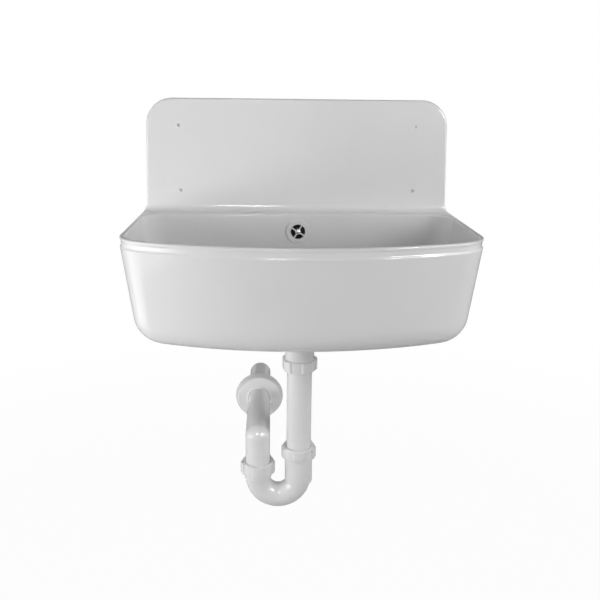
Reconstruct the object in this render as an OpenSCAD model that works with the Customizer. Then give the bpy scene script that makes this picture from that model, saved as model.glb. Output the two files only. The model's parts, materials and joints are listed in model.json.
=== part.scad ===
// Wall-hung utility sink in moulded plastic, with its overflow, its waste and a U-bend trap.
// The origin is the middle of the four wall-fixing holes, on the wall plane.
// +X points right as seen from the front, +Y into the wall and +Z up.

/* [Bowl] */
// Width over the rim, at the wall
basin_width = 530; // [420:1:640]
// Depth from the wall to the middle of the front rim
basin_depth = 350; // [300:1:420]
// Height from the top of the rim to the underside of the bowl
bowl_height = 156; // [130:1:200]
// Thickness of the moulded wall
wall = 4; // [3:0.1:5]
// Angle by which each side closes in towards the front
side_taper = 2; // [0:0.1:4]
// Radius of the bowed front, in plan
front_bow_r = 540; // [450:5:900]
// Radius of the front corners, in plan
front_corner_r = 70; // [62:1:80]
// Radius of the rear corners of the bowl's mouth, in plan
rear_corner_r = 38; // [30:1:46]
// Radius where the bowl's walls turn into its underside
bottom_r = 42; // [30:1:46]
// Draft angle of the bowl's sides
side_draft = 7.5; // [3:0.1:8]
// Draft angle of the bowl's front
front_draft = 9; // [4:0.1:9.5]
// Draft angle of the bowl's rear wall
rear_draft = 4; // [2:0.1:6]
// Fall of the floor from its edge to the waste
floor_fall = 3; // [1:0.1:6]

/* [Rim] */
// Width of the rim's flat top at the sides and the front
rim_w = 8; // [7:0.1:12]
// Height from the wall's shoulder to the top of the rim
band_h = 15.5; // [12:0.1:18]
// Height of the bead round the rim's outer edge
bead_h = 4; // [3:0.1:5]
// Height of the step from the bead down to the neck
bead_step = 1; // [0.5:0.1:2]
// Height of the slope from the neck down to the shoulder
shoulder_h = 4; // [3:0.1:5]
// How far the neck between bead and shoulder is set back
neck_inset = 1.2; // [0.5:0.1:2]
// Radius of the bead's upper edge
rim_edge_r = 2.5; // [1:0.1:2.8]
// Radius of the mouth's edge
mouth_edge_r = 3; // [1:0.1:3.5]
// Depth of the ledge between the wall and the mouth
ledge_depth = 46; // [40:1:60]

/* [Splashback] */
// Width of the splashback at the height of its upper holes
splash_width = 509; // [400:1:520]
// Height of the splashback above the middle of the fixing holes
splash_above = 98; // [85:1:160]
// Angle by which each side of the splashback widens downwards
splash_flare = 1.9; // [0:0.1:2.5]
// Radius of the splashback's top corners
splash_corner_r = 45; // [10:1:60]
// Radius of the cove between the splashback and the ledge
cove_r = 11; // [6:0.5:16]
// Radius of the turn from the splashback's side to the rim
side_cove_r = 12; // [6:0.5:16]

/* [Wall fixings] */
// Distance between the fixing holes along X
hole_pitch_x = 400; // [300:1:440]
// Distance between the fixing holes along Z
hole_pitch_z = 108; // [80:1:130]
// Diameter of the fixing holes
hole_d = 5; // [4:0.1:7]
// Drop from the middle of the fixing holes to the top of the rim
rim_drop = 89.5; // [80:0.5:120]

/* [Overflow] */
// Drop from the top of the rim to the axis of the overflow
overflow_drop = 29; // [27:0.5:36]
// Diameter of the overflow's flange
overflow_flange_d = 40; // [38:0.5:42]
// Thickness of the spigot that passes through the bowl's rear wall
spigot_t = 2.2; // [1.5:0.1:3]
// Thickness of the overflow's flange
overflow_flange_t = 2; // [1.5:0.1:3]
// Diameter of the ring of openings in the overflow
overflow_mouth_d = 24.3; // [20:0.1:25]
// Diameter of the overflow's hub
overflow_hub_d = 9.2; // [8:0.1:11]
// Width of the four spokes
spoke_w = 2.2; // [1.5:0.1:3]
// Angle by which the spokes are turned from upright
spoke_turn = 32; // [0:1:90]
// Diameter of the overflow's screw
overflow_screw_d = 4; // [3:0.1:4.5]
// Diameter of that screw's head
overflow_head_d = 7; // [6:0.1:8]
// Thickness of that screw's head
overflow_head_h = 1.6; // [1.2:0.1:3]
// Length of that screw's shank
overflow_screw_len = 20; // [16:0.5:26]
// Thickness of the overflow's gasket
overflow_gasket_t = 2; // [1:0.1:3]
// Depth of the overflow's housing behind the bowl
overflow_housing_t = 28; // [27:0.5:30]
// Wall thickness of the overflow's housing
housing_wall = 2; // [1.6:0.1:3]
// Drop from the housing's flange to the mouth of its socket
housing_drop = 12; // [8:0.5:16]
// Outer diameter of the overflow pipe
overflow_pipe_d = 20; // [18:0.5:20]
// Wall thickness of the overflow pipe
overflow_pipe_t = 1.5; // [1:0.1:2]
// Radius of the overflow pipe's bend
overflow_bend_r = 30; // [24:1:32]
// Wall thickness of the two small sockets
small_socket_t = 3; // [2.5:0.1:4]
// Depth to which the overflow pipe enters a small socket
small_depth = 15; // [10:0.5:18]
// Thickness of a small nut's shell
small_nut_t = 3; // [2:0.1:3.5]
// Height of a small nut
small_nut_h = 13; // [10:0.5:15]
// Thickness of a small nut's lip
small_lip = 2.5; // [2:0.1:4]
// Height of a small seal
small_seal_h = 3; // [2:0.1:5]
// Number of grip ribs round a small nut
small_ribs = 6; // [4:1:10]
// Width of such a rib
small_rib_w = 4; // [2:0.1:6]

/* [Waste] */
// Distance from the wall to the waste's axis
waste_from_wall = 172; // [160:1:190]
// Diameter of the strainer
strainer_d = 70; // [66:0.5:76]
// Thickness of the strainer's sheet
strainer_t = 1.2; // [0.8:0.1:2]
// Depth of the strainer's dish
strainer_dish = 3; // [2:0.1:4]
// Diameter of the strainer's dish
strainer_dish_d = 44; // [40:0.5:46]
// Diameter of the strainer's holes
strainer_hole_d = 5; // [3:0.1:6]
// Diameter of the hole in the bowl's floor
waste_hole_d = 54; // [50:0.5:56]
// Width of the flat ring round the strainer's seat
seat_margin = 5; // [4:0.5:8]
// Depth of the seat moulded for the strainer
seat_recess = 2.4; // [2:0.1:3]
// Thickness of the upper and lower gaskets
waste_gasket_t = 2; // [1:0.1:3]
// Outer diameter of the waste body's flange
waste_flange_d = 76; // [72:0.5:80]
// Thickness of the waste body's flange
waste_flange_t = 3; // [2:0.1:4]
// Outer diameter of the waste body's cup
waste_cup_d = 62; // [58:0.5:64]
// Height of the waste body's cup
waste_cup_h = 22; // [21:0.5:26]
// Height of the cone between the cup and the neck
waste_cone_h = 5; // [4:0.5:10]
// Distance from the cup to the mouth of the overflow's port
port_reach = 22; // [18:0.5:26]
// Outer diameter of the waste body's neck
neck_d = 46; // [44:0.1:46.5]
// Length of the neck above the union nut
neck_len = 16.5; // [12:0.5:40]
// Thickness of the overflow's port, round its bore
port_t = 1.5; // [1.5:0.1:2]
// Width of the port's stop inside the overflow pipe's end
port_stop = 0.5; // [0.3:0.1:1]
// Thickness of the waste body's walls
waste_wall = 3; // [2:0.1:3.5]
// Height of the thread under the neck
waste_thread_h = 9; // [7:0.5:10]
// Diameter of the waste's clamping screw
waste_screw_d = 6; // [5:0.1:8]
// Diameter of that screw's head
head_d = 16; // [12:0.5:18]
// Thickness of that screw's head
head_h = 2; // [1.5:0.1:3]
// Outer diameter of the brass insert
insert_d = 9; // [8.6:0.1:10]
// Diameter of the boss round the insert
screw_boss_d = 14; // [13:0.5:16]
// Height of that boss
screw_boss_h = 12; // [8:0.5:14]
// Thickness of the three ribs that hold the boss
boss_rib_w = 3; // [2:0.1:4]

/* [Trap] */
// Outer diameter of the trap's pipes
pipe_d = 40; // [38:0.1:40]
// Wall thickness of the trap's pipes
pipe_wall = 2; // [1.6:0.1:3]
// Diameter of the tailpipe's collar
collar_d = 46.4; // [45:0.1:47]
// Thickness of the tailpipe's collar
collar_t = 2; // [1.5:0.1:3]
// Thickness of the washer over the collar
union_washer_t = 2; // [1:0.1:3]
// Length of the tailpipe under its collar
tail_len = 194; // [150:1:260]
// Depth to which a pipe enters the inlet socket
inlet_depth = 47; // [40:1:60]
// Wall thickness of the inlet socket
inlet_socket_t = 2.5; // [2:0.1:3.4]
// Wall thickness of the outlet socket
outlet_socket_t = 2; // [1.6:0.1:3.4]
// Length of the inlet socket's skirt below the pipe's end
inlet_skirt = 8; // [0:0.5:10]
// Depth to which a pipe enters the outlet socket
outlet_depth = 20; // [16:1:30]
// Distance between the two legs of the U-bend
leg_spacing = 67; // [66:0.5:90]
// Height from the outlet socket's mouth to the outlet pipe's axis
outlet_rise = 52; // [50:1:90]
// How far the ball at the outlet pipe's knuckle stands proud of its pipe
knuckle_swell = 0.6; // [0.4:0.1:1]
// Length of the outlet pipe behind the wall plane
stub_len = 120; // [60:1:150]
// Width of the insertion mark round the outlet pipe, at the wall plane
mark_w = 1; // [0.5:0.1:2]
// Depth of the insertion mark
mark_depth = 0.3; // [0.2:0.1:0.6]

/* [Trap nuts] */
// Outer diameter of the thread, G 1 1/2
thread_d = 47.8; // [47.8:0.1:48.2]
// Thickness of a nut's shell over its thread
nut_shell = 2.4; // [2:0.1:4]
// Height of a nut
nut_h = 18; // [16:0.5:22]
// Thickness of a glide ring
glide_t = 1.5; // [1:0.1:2]
// Thickness of a tapered seal's flange
seal_flange_t = 2.5; // [2:0.1:3]
// Height of a tapered seal's cone
seal_cone_h = 6; // [4:0.5:8]
// Thickness of a tapered seal's cone at its wide end
seal_cone_t = 2; // [1.5:0.1:2.5]
// Thickness of a nut's lip
nut_lip = 4; // [3:0.1:5]
// Number of grip lugs round a nut
nut_lugs = 5; // [4:1:8]
// Width of a grip lug
lug_w = 17; // [8:0.5:18]
// How far the lugs stand out
lug_proud = 2; // [1:0.1:3]
// Polar angle of one lug of the union nut
union_nut_turn = 6.5; // [0:0.5:72]
// Polar angle of one lug of the inlet nut
inlet_nut_turn = 266; // [230:0.5:302]
// Polar angle of one lug of the outlet nut
outlet_nut_turn = 270; // [234:0.5:306]

/* [Rosette] */
// Outer diameter of the wall rosette
rosette_d = 87; // [80:0.5:100]
// Depth of the rosette from the wall
rosette_h = 20; // [14:0.5:26]
// Height of the rosette's straight edge
rosette_edge = 3; // [2:0.1:5]
// Thickness of the rosette's shell
rosette_t = 2; // [1.5:0.1:3]

/* [Fits] */
// Radial clearance of a sliding or turning fit
fit = 0.1; // [0.05:0.01:0.1]
// Radial clearance of a pipe in a socket, lip or collar
pipe_gap = 0.3; // [0.2:0.05:0.4]
// Radial clearance of a washer or ring inside a nut
washer_gap = 0.4; // [0.3:0.05:0.6]
// Gap between a pipe's end and the stop in its socket
end_gap = 0.5; // [0.2:0.1:1]

/* [Hidden] */
$fn = 96;

// How far a cut runs past the face that it opens, and how deep a joined solid bites
cut = 1;

PLASTIC = [0.93, 0.93, 0.93];
DARK_PLASTIC = [0.2, 0.2, 0.21];
RUBBER = [0.16, 0.16, 0.17];
STEEL = [0.75, 0.76, 0.77];
BRASS = [0.78, 0.62, 0.32];

// Levels of the bowl
rim_z = -rim_drop;
band_z = rim_z - band_h;
under_z = rim_z - bowl_height;
arc_z = under_z + bottom_r;
half_w = basin_width / 2;
taper = tan(side_taper);

// Steps round the outline and round the bottom's radius
STEPS_REAR = 3;
STEPS_CORNER = 6;
STEPS_SIDE = 3;
STEPS_FRONT = 7;
BOTTOM_ANGLES = [90, 74, 58, 42, 26, 10];

// Points of an arc about c, without its last point
function arc(c, r, from, to, n) =
    [for (i = [0:n - 1]) c + r * [cos(from + (to - from) * i / n), sin(from + (to - from) * i / n)]];

// Points from p to q, without q
function line(p, q, n) = [for (i = [0:n - 1]) p + (q - p) * i / n];

// Right half of a basin outline from the middle of the rear to the middle of the front.
// w is the half width at the wall, front and rear are the ends along Y,
// rf and rr the radii of the front and the rear corners.
function half_outline(w, front, rear, rf, rr) =
    let (
        s = norm([1, taper]),
        bow = front_bow_r + front,
        a = w - rf * s,
        qa = 1 + taper * taper,
        qb = 2 * (a * taper - bow),
        qc = a * a + bow * bow - pow(front_bow_r - rf, 2),
        yc = (-qb - sqrt(qb * qb - 4 * qa * qc)) / (2 * qa),
        cf = [a + taper * yc, yc],
        cr = [w + taper * (rear - rr) - rr * s, rear - rr],
        out = [1, -taper] / s,
        turn = atan2(cf[1] - bow, cf[0])
    )
    concat(
        line([0, rear], [cr[0], rear], STEPS_REAR),
        arc(cr, rr, 90, -side_taper, STEPS_CORNER),
        line(cr + rr * out, cf + rf * out, STEPS_SIDE),
        arc(cf, rf, -side_taper, turn, STEPS_CORNER + 2),
        arc([0, bow], front_bow_r, turn, -90, STEPS_FRONT)
    );

// Whole outline, with the left half mirrored from the right
function outline(w, front, rear, rf, rr) =
    let (
        right = half_outline(w, front, rear, rf, rr),
        n = len(right),
        tip = [0, front]
    )
    concat(right, [tip], [for (i = [n - 1:-1:1]) [-right[i][0], right[i][1]]]);

function at_height(points, z) = [for (p = points) [p[0], p[1], z]];

// Insets of the outer wall at depth d under the shoulder: side, front and rear
function wall_insets(d) = [
    d * tan(side_draft),
    d * tan(front_draft),
    (d + band_h - mouth_edge_r) * tan(rear_draft)
];

// Smallest radius of a corner in plan
least_r = 3;
// Radius of the corners at the wall plane
wall_corner_r = 2;

// Outline at a height, inset from the rim at the side and front, from the mouth at the rear
function wall_ring(side, front, rear, z) =
    at_height(outline(
        half_w - side,
        front - basin_depth,
        rear_outer_y - rear,
        max(front_corner_r - (side + front) / 2, least_r),
        max(rear_corner_r + wall - (side + rear) / 2, least_r)
    ), z);

// Rear wall's outer face, level with the mouth's edge
rear_outer_y = wall - ledge_depth;

// Ring on the bottom's radius: t is 0 on the outer skin and the wall's thickness on the inner
function bottom_ring(angle, t) =
    let (
        d = band_z - arc_z + bottom_r * sin(BOTTOM_ANGLES[len(BOTTOM_ANGLES) - 1]),
        in = wall_insets(d),
        to_centre = bottom_r * cos(BOTTOM_ANGLES[len(BOTTOM_ANGLES) - 1]),
        reach = to_centre - (bottom_r - t) * cos(angle)
    )
    wall_ring(in[0] + reach, in[1] + reach, in[2] + reach, arc_z - (bottom_r - t) * sin(angle));

// Outline of the rim itself, inset by i, running back to the wall plane
function rim_ring(i, z) =
    at_height(outline(half_w - i, i - basin_depth, 0, front_corner_r - i, wall_corner_r), z);

// Outline of the mouth, inset by i from its edge
function mouth_ring(i, z) =
    at_height(outline(
        half_w - rim_w - i,
        rim_w + i - basin_depth,
        -ledge_depth - i,
        front_corner_r - rim_w - i,
        rear_corner_r - i
    ), z);

// Circle about the waste's axis, with a point towards each point of a ring
function waste_ring(ring, r, z) =
    [for (p = ring)
        let (v = [p[0], p[1] + waste_from_wall])
        [r * v[0] / norm(v), r * v[1] / norm(v) - waste_from_wall, z]];

// Grid of triangles over a stack of rings, closed by a fan at each end
module loft(rings) {
    n = len(rings[0]);
    m = len(rings);
    points = [for (r = rings) each r];
    faces = concat(
        [for (j = [0:m - 2], i = [0:n - 1])
            [j * n + i, j * n + (i + 1) % n, (j + 1) * n + (i + 1) % n]],
        [for (j = [0:m - 2], i = [0:n - 1])
            [j * n + i, (j + 1) * n + (i + 1) % n, (j + 1) * n + i]],
        [[for (i = [n - 1:-1:0]) i]],
        [[for (i = [0:n - 1]) (m - 1) * n + i]]
    );
    polyhedron(points, faces, convexity = 6);
}

// The waste's seat, floor and boss
seat_ring_r = strainer_d / 2 + seat_margin;
boss_r = seat_ring_r - seat_margin / 2;
floor_z = under_z + wall;
seat_z = floor_z - floor_fall;
recess_z = seat_z - seat_recess;
boss_z = recess_z - wall;

module bowl() {
    outer = [for (a = BOTTOM_ANGLES) bottom_ring(a, 0)];
    inner = [for (i = [len(BOTTOM_ANGLES) - 1:-1:0]) bottom_ring(BOTTOM_ANGLES[i], wall)];
    edge = rim_edge_r;
    lip = mouth_edge_r;
    skirt_rise = 0.5;
    neck_from = band_z + shoulder_h;
    neck_to = rim_z - bead_h - bead_step;
    loft(concat(
        [waste_ring(outer[0], seat_ring_r, under_z - floor_fall)],
        outer,
        [wall_ring(0, 0, wall_insets(0)[2], band_z)],
        [rim_ring(neck_inset * skirt_rise / shoulder_h, band_z + skirt_rise)],
        [rim_ring(neck_inset, neck_from), rim_ring(neck_inset, neck_to)],
        [rim_ring(0, rim_z - bead_h), rim_ring(0, rim_z - edge)],
        [rim_ring(edge * (1 - cos(45)), rim_z - edge * (1 - sin(45))), rim_ring(edge, rim_z)],
        [mouth_ring(-lip, rim_z), mouth_ring(-lip * (1 - sin(45)), rim_z - lip * (1 - cos(45)))],
        [mouth_ring(0, rim_z - lip)],
        inner,
        [waste_ring(inner[len(inner) - 1], seat_ring_r, seat_z)]
    ));
}

// The splashback's outline in its own plane, from its foot in the bead to its top
foot_inset = 0.6;
splash_half = splash_width / 2;
flare = tan(splash_flare);
function splash_x(z) = splash_half + (hole_pitch_z / 2 - z) * flare;

module splash_outline() {
    r = splash_corner_r;
    c = side_cove_r;
    top = splash_above;
    corner = [splash_x(top - r) - r, top - r];
    foot = half_w - foot_inset;
    cove_w = foot - splash_x(rim_z + c);
    right = concat(
        [[foot, rim_z - (rim_edge_r + bead_h) / 2], [foot, rim_z]],
        [for (a = [270:-15:180]) [foot, rim_z + c] + [cove_w * cos(a), c * sin(a)]],
        [for (a = [0:7.5:90]) corner + r * [cos(a), sin(a)]]
    );
    left = [for (i = [len(right) - 1:-1:0]) [-right[i][0], right[i][1]]];
    polygon(concat(right, left));
}

module splashback() {
    rotate([90, 0, 0])
        linear_extrude(wall)
            splash_outline();
}

// Cove that blends the splashback into the ledge
module cove() {
    length = 2 * splash_x(rim_z);
    profile = concat(
        [[0, -cut], [wall + cove_r, -cut], [wall + cove_r, 0]],
        [for (a = [270:-10:180]) [wall + cove_r, cove_r] + cove_r * [cos(a), sin(a)]],
        [[0, cove_r]]
    );
    translate([length / 2, 0, rim_z])
        rotate([0, 0, 180])
            rotate([90, 0, 90])
                linear_extrude(length)
                    polygon(profile);
}

// Overflow frame: its origin is on the bowl's inner rear face, +Y leaves the bowl
rear_top = mouth_ring(0, rim_z - mouth_edge_r)[0];
rear_low = bottom_ring(BOTTOM_ANGLES[len(BOTTOM_ANGLES) - 1], wall)[0];
rear_slope = (rear_top[1] - rear_low[1]) / (rear_top[2] - rear_low[2]);
overflow_z = rim_z - overflow_drop;
overflow_y = rear_top[1] - (rear_top[2] - overflow_z) * rear_slope;
overflow_hole_d = overflow_mouth_d + 2 * (spigot_t + pipe_gap);
spot_margin = 2;

module at_overflow() {
    translate([0, overflow_y, overflow_z])
        rotate([-90 - atan(rear_slope), 0, 0])
            children();
}

module at_waste(z = 0) {
    translate([0, -waste_from_wall, z])
        children();
}

module basin() {
    pocket_y = ledge_depth - 2 * wall;
    color(PLASTIC)
        difference() {
            union() {
                bowl();
                splashback();
                cove();
                at_waste(boss_z)
                    cylinder(r = boss_r, h = under_z - floor_fall - boss_z + cut);
            }
            translate([-half_w + 2 * wall, -wall - pocket_y, band_z - cut])
                cube([basin_width - 4 * wall, pocket_y, band_h - wall + cut]);
            at_waste(recess_z)
                cylinder(d = strainer_d + 2 * pipe_gap, h = bowl_height);
            at_waste(boss_z - cut)
                cylinder(d = waste_hole_d, h = bowl_height);
            at_overflow()
                translate([0, 0, -2 * wall])
                    cylinder(d = overflow_hole_d, h = 4 * wall);
            at_overflow()
                translate([0, 0, wall])
                    cylinder(d = overflow_flange_d + 2 * spot_margin, h = overflow_housing_t);
            for (x = [-1, 1], z = [-1, 1])
                translate([x * hole_pitch_x / 2, cut, z * hole_pitch_z / 2])
                    rotate([90, 0, 0])
                        cylinder(d = hole_d, h = wall + 2 * cut);
        }
}

module tube(d, wall_t, h) {
    difference() {
        cylinder(d = d, h = h);
        translate([0, 0, -cut])
            cylinder(d = d - 2 * wall_t, h = h + 2 * cut);
    }
}

module ring(outer_d, inner_d, h) {
    tube(outer_d, (outer_d - inner_d) / 2, h);
}

// Overflow: grille and screw in the bowl, gasket and housing behind it
spigot_len = wall + overflow_gasket_t;

module overflow_grille() {
    mouth = overflow_mouth_d / 2;
    color(PLASTIC)
        at_overflow()
            difference() {
                union() {
                    translate([0, 0, -overflow_flange_t])
                        ring(overflow_flange_d, overflow_mouth_d, overflow_flange_t);
                    ring(overflow_hole_d - 2 * pipe_gap, overflow_mouth_d, spigot_len);
                    translate([0, 0, -overflow_flange_t])
                        cylinder(d = overflow_hub_d, h = overflow_flange_t + wall);
                    for (a = [0:90:270])
                        rotate([0, 0, a + spoke_turn])
                            translate([0, -spoke_w / 2, -overflow_flange_t])
                                cube([mouth + cut, spoke_w, overflow_flange_t]);
                }
                translate([0, 0, -overflow_flange_t - cut])
                    cylinder(d = overflow_screw_d + 2 * fit, h = overflow_flange_t + wall + 2 * cut);
            }
}

recess_share = 0.6;
recess_w = 1;

module overflow_screw() {
    recess = overflow_head_d * recess_share;
    color(STEEL)
        at_overflow()
            translate([0, 0, -overflow_flange_t])
                difference() {
                    union() {
                        cylinder(d = overflow_screw_d, h = overflow_screw_len);
                        translate([0, 0, -overflow_head_h])
                            cylinder(d = overflow_head_d, h = overflow_head_h);
                    }
                    for (a = [0, 90])
                        rotate([0, 0, a + 45])
                            translate([-recess / 2, -recess_w / 2, -1.5 * overflow_head_h])
                                cube([recess, recess_w, overflow_head_h]);
                }
}

module overflow_gasket() {
    color(RUBBER)
        at_overflow()
            translate([0, 0, wall])
                ring(overflow_flange_d, overflow_hole_d, overflow_gasket_t);
}

// Housing: a cup on the overflow's axis with an outlet that points straight down
small_socket_d = overflow_pipe_d + 2 * small_socket_t;
small_nut_d = small_socket_d + 2 * small_nut_t;
overflow_bore_d = overflow_pipe_d - 2 * overflow_pipe_t;
housing_y = overflow_y + wall + overflow_gasket_t;
housing_axis_y = housing_y + small_socket_d / 2;
housing_outlet_z = overflow_z - overflow_flange_d / 2 - housing_drop;
small_socket_depth = small_depth + 2 * end_gap;
housing_flange_t = 3;

module overflow_housing() {
    cup_d = overflow_hole_d + 2 * housing_wall;
    color(DARK_PLASTIC)
        difference() {
            union() {
                at_overflow()
                    translate([0, 0, spigot_len])
                        cylinder(d = overflow_flange_d, h = housing_flange_t);
                at_overflow()
                    translate([0, 0, spigot_len])
                        cylinder(d = cup_d, h = overflow_housing_t);
                translate([0, housing_axis_y, housing_outlet_z])
                    cylinder(d = small_socket_d, h = overflow_z - housing_outlet_z);
            }
            at_overflow()
                translate([0, 0, spigot_len - cut])
                    cylinder(d = overflow_mouth_d, h = overflow_housing_t - housing_flange_t + cut);
            translate([0, housing_axis_y, housing_outlet_z - cut])
                cylinder(d = overflow_bore_d, h = overflow_z - housing_outlet_z + cut);
            translate([0, housing_axis_y, housing_outlet_z - cut])
                cylinder(d = overflow_pipe_d + 2 * fit, h = small_socket_depth + cut);
        }
    color(DARK_PLASTIC)
        housing_boss();
}

// Boss in the housing that takes the overflow's screw
module housing_boss() {
    at_overflow()
        difference() {
            translate([0, 0, spigot_len + housing_flange_t])
                cylinder(d = overflow_hub_d, h = overflow_housing_t - housing_flange_t - cut);
            cylinder(d = overflow_screw_d + 2 * fit, h = overflow_screw_len);
        }
}

// Small slip joint of the overflow pipe: seal on the socket's mouth, nut over both.
// Each is drawn with the socket's mouth at z = 0 and the pipe leaving towards -Z.
module small_seal() {
    ring(small_socket_d - 2 * washer_gap, overflow_pipe_d + 2 * fit, small_seal_h);
}

module small_nut() {
    difference() {
        union() {
            cylinder(d = small_nut_d, h = small_nut_h);
            for (i = [0:small_ribs - 1])
                rotate([0, 0, 360 * i / small_ribs])
                    translate([small_nut_d / 2 - cut, -small_rib_w / 2, 0])
                        cube([2 * cut, small_rib_w, small_nut_h]);
        }
        translate([0, 0, -cut])
            cylinder(d = overflow_pipe_d + 2 * pipe_gap, h = small_nut_h + 2 * cut);
        translate([0, 0, small_lip])
            cylinder(d = small_socket_d + 2 * fit, h = small_nut_h);
    }
}

// The port's socket on the waste body opens towards the wall
port_z = boss_z - waste_gasket_t - waste_flange_t - waste_cup_h / 2;
port_mouth_y = -waste_from_wall + waste_cup_d / 2 + port_reach;

module at_housing_mouth() {
    translate([0, housing_axis_y, housing_outlet_z])
        children();
}

module at_port_mouth() {
    translate([0, port_mouth_y, port_z])
        rotate([90, 0, 0])
            children();
}

module housing_seal() {
    color(RUBBER)
        at_housing_mouth()
            translate([0, 0, -small_seal_h])
                small_seal();
}

module housing_nut() {
    color(PLASTIC)
        at_housing_mouth()
            translate([0, 0, -small_seal_h - small_lip])
                small_nut();
}

module port_seal() {
    color(RUBBER)
        at_port_mouth()
            translate([0, 0, -small_seal_h])
                small_seal();
}

module port_nut() {
    color(PLASTIC)
        at_port_mouth()
            translate([0, 0, -small_seal_h - small_lip])
                small_nut();
}

// Bend whose middle line starts at the origin along +Z and turns towards +X
module bend(r, angle, d) {
    translate([r, 0, 0])
        rotate([90, 0, 0])
            rotate([0, 0, 180 - angle])
                rotate_extrude(angle = angle)
                    translate([r, 0])
                        circle(d = d);
}

module overflow_pipe() {
    top = housing_outlet_z + small_depth;
    front = port_mouth_y - small_depth;
    color(PLASTIC)
        difference() {
            overflow_run(overflow_pipe_d, top, front, 0);
            overflow_run(overflow_bore_d, top, front, cut);
        }
}

// Both runs and the bend of the overflow pipe, each run longer by extra
module overflow_run(d, top, front, extra) {
    r = overflow_bend_r;
    translate([0, housing_axis_y, port_z + r])
        cylinder(d = d, h = top - port_z - r + extra);
    translate([0, housing_axis_y, port_z + r])
        rotate([180, 0, 0])
            rotate([0, 0, 90])
                bend(r, 90, d);
    translate([0, housing_axis_y - r, port_z])
        rotate([90, 0, 0])
            cylinder(d = d, h = housing_axis_y - r - front + extra);
}

// Waste: strainer and gaskets round the hole, body under it, screw through all
strainer_gasket_t = seat_recess - strainer_t;
strainer_z = recess_z + strainer_gasket_t;
flange_z = boss_z - waste_gasket_t;
cup_z = flange_z - waste_flange_t;
cone_z = cup_z - waste_cup_h;
neck_z = cone_z - waste_cone_h;
thread_z = neck_z - neck_len;
waste_end_z = thread_z - waste_thread_h;
boss_drop = 4;
screw_boss_z = cup_z - boss_drop;
// Rows of holes in the strainer: how many, and their radius as a share of the dish's
strainer_rows = [[8, 0.42], [12, 0.6], [16, 0.8]];

module waste_strainer() {
    dish = strainer_dish_d / 2;
    color(STEEL)
        at_waste(strainer_z)
            difference() {
                union() {
                    cylinder(d = strainer_d, h = strainer_t);
                    translate([0, 0, -strainer_dish])
                        cylinder(r = dish, h = strainer_dish + strainer_t);
                }
                translate([0, 0, strainer_t - strainer_dish])
                    cylinder(r = dish - strainer_t, h = strainer_dish + cut);
                translate([0, 0, -strainer_dish - cut])
                    cylinder(d = waste_screw_d + 2 * fit, h = strainer_dish + 3 * cut);
                for (row = strainer_rows, i = [1:row[0]])
                    rotate([0, 0, 360 * i / row[0]])
                        translate([row[1] * dish, 0, -strainer_dish - cut])
                            cylinder(d = strainer_hole_d * row[1], h = strainer_dish + 3 * cut);
            }
}

module strainer_gasket() {
    color(RUBBER)
        at_waste(recess_z)
            ring(strainer_d, waste_hole_d, strainer_gasket_t);
}

module waste_gasket() {
    color(RUBBER)
        at_waste(flange_z)
            ring(waste_flange_d - 2 * cut, waste_hole_d, waste_gasket_t);
}

// Body of revolution from a list of [radius, z] points, closed on the axis
module turned(points) {
    rotate_extrude()
        polygon(concat([[0, points[0][1]]], points, [[0, points[len(points) - 1][1]]]));
}

module waste_body() {
    cup_r = waste_cup_d / 2;
    neck_r = neck_d / 2;
    reach = port_mouth_y + waste_from_wall;
    port_bore_d = overflow_bore_d - 2 * port_stop;
    bore_r = neck_r - waste_wall;
    cup_bore_r = cup_r - waste_wall;
    color(PLASTIC)
        difference() {
            union() {
                at_waste()
                    turned([
                        [thread_d / 2, waste_end_z], [thread_d / 2, thread_z], [neck_r, thread_z],
                        [neck_r, neck_z], [cup_r, cone_z], [cup_r, cup_z],
                        [waste_flange_d / 2, cup_z], [waste_flange_d / 2, flange_z],
                    ]);
                at_waste(port_z)
                    rotate([-90, 0, 0])
                        cylinder(d = port_bore_d + 2 * port_t, h = reach - 2 * cut);
                at_waste(port_z)
                    translate([0, reach, 0])
                        rotate([90, 0, 0])
                            cylinder(d = small_socket_d, h = small_socket_depth + small_socket_t);
            }
            at_waste()
                turned([
                    [bore_r, waste_end_z - cut], [bore_r, neck_z],
                    [cup_bore_r, cone_z], [cup_bore_r, flange_z + cut],
                ]);
            at_waste(port_z)
                rotate([-90, 0, 0])
                    cylinder(d = port_bore_d, h = reach + cut);
            at_waste(port_z)
                translate([0, reach + cut, 0])
                    rotate([90, 0, 0])
                        cylinder(d = overflow_pipe_d + 2 * fit, h = small_socket_depth + cut);
        }
    color(PLASTIC)
        waste_cross();
}

// Three ribs and a boss in the cup hold the screw's insert
module waste_cross() {
    at_waste(screw_boss_z - screw_boss_h)
        difference() {
            union() {
                cylinder(d = screw_boss_d, h = screw_boss_h);
                for (a = [30, 150, 270])
                    rotate([0, 0, a])
                        translate([0, -boss_rib_w / 2, cut])
                            cube([(waste_cup_d - waste_wall) / 2, boss_rib_w, screw_boss_h - 3 * cut]);
            }
            translate([0, 0, -cut])
                cylinder(d = insert_d, h = screw_boss_h + 2 * cut);
        }
}

module waste_insert() {
    color(BRASS)
        at_waste(screw_boss_z - screw_boss_h)
            ring(insert_d, waste_screw_d + 2 * fit, screw_boss_h);
}

module waste_screw() {
    seat = strainer_z + strainer_t - strainer_dish;
    tip = screw_boss_z - screw_boss_h + cut;
    slot_w = 1.6;
    slot_len = 0.8 * head_d;
    color(STEEL)
        difference() {
            union() {
                at_waste(seat)
                    cylinder(d = head_d, h = head_h);
                at_waste(tip)
                    cylinder(d = waste_screw_d, h = seat - tip + cut);
            }
            at_waste(seat + head_h / 2)
                translate([-slot_len / 2, -slot_w / 2, 0])
                    cube([slot_len, slot_w, head_h]);
        }
}

// Union under the waste body, from top to bottom: washer, tailpipe's collar, glide ring, lip
collar_z = waste_end_z - union_washer_t - collar_t;
tail_end_z = collar_z - tail_len;

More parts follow.
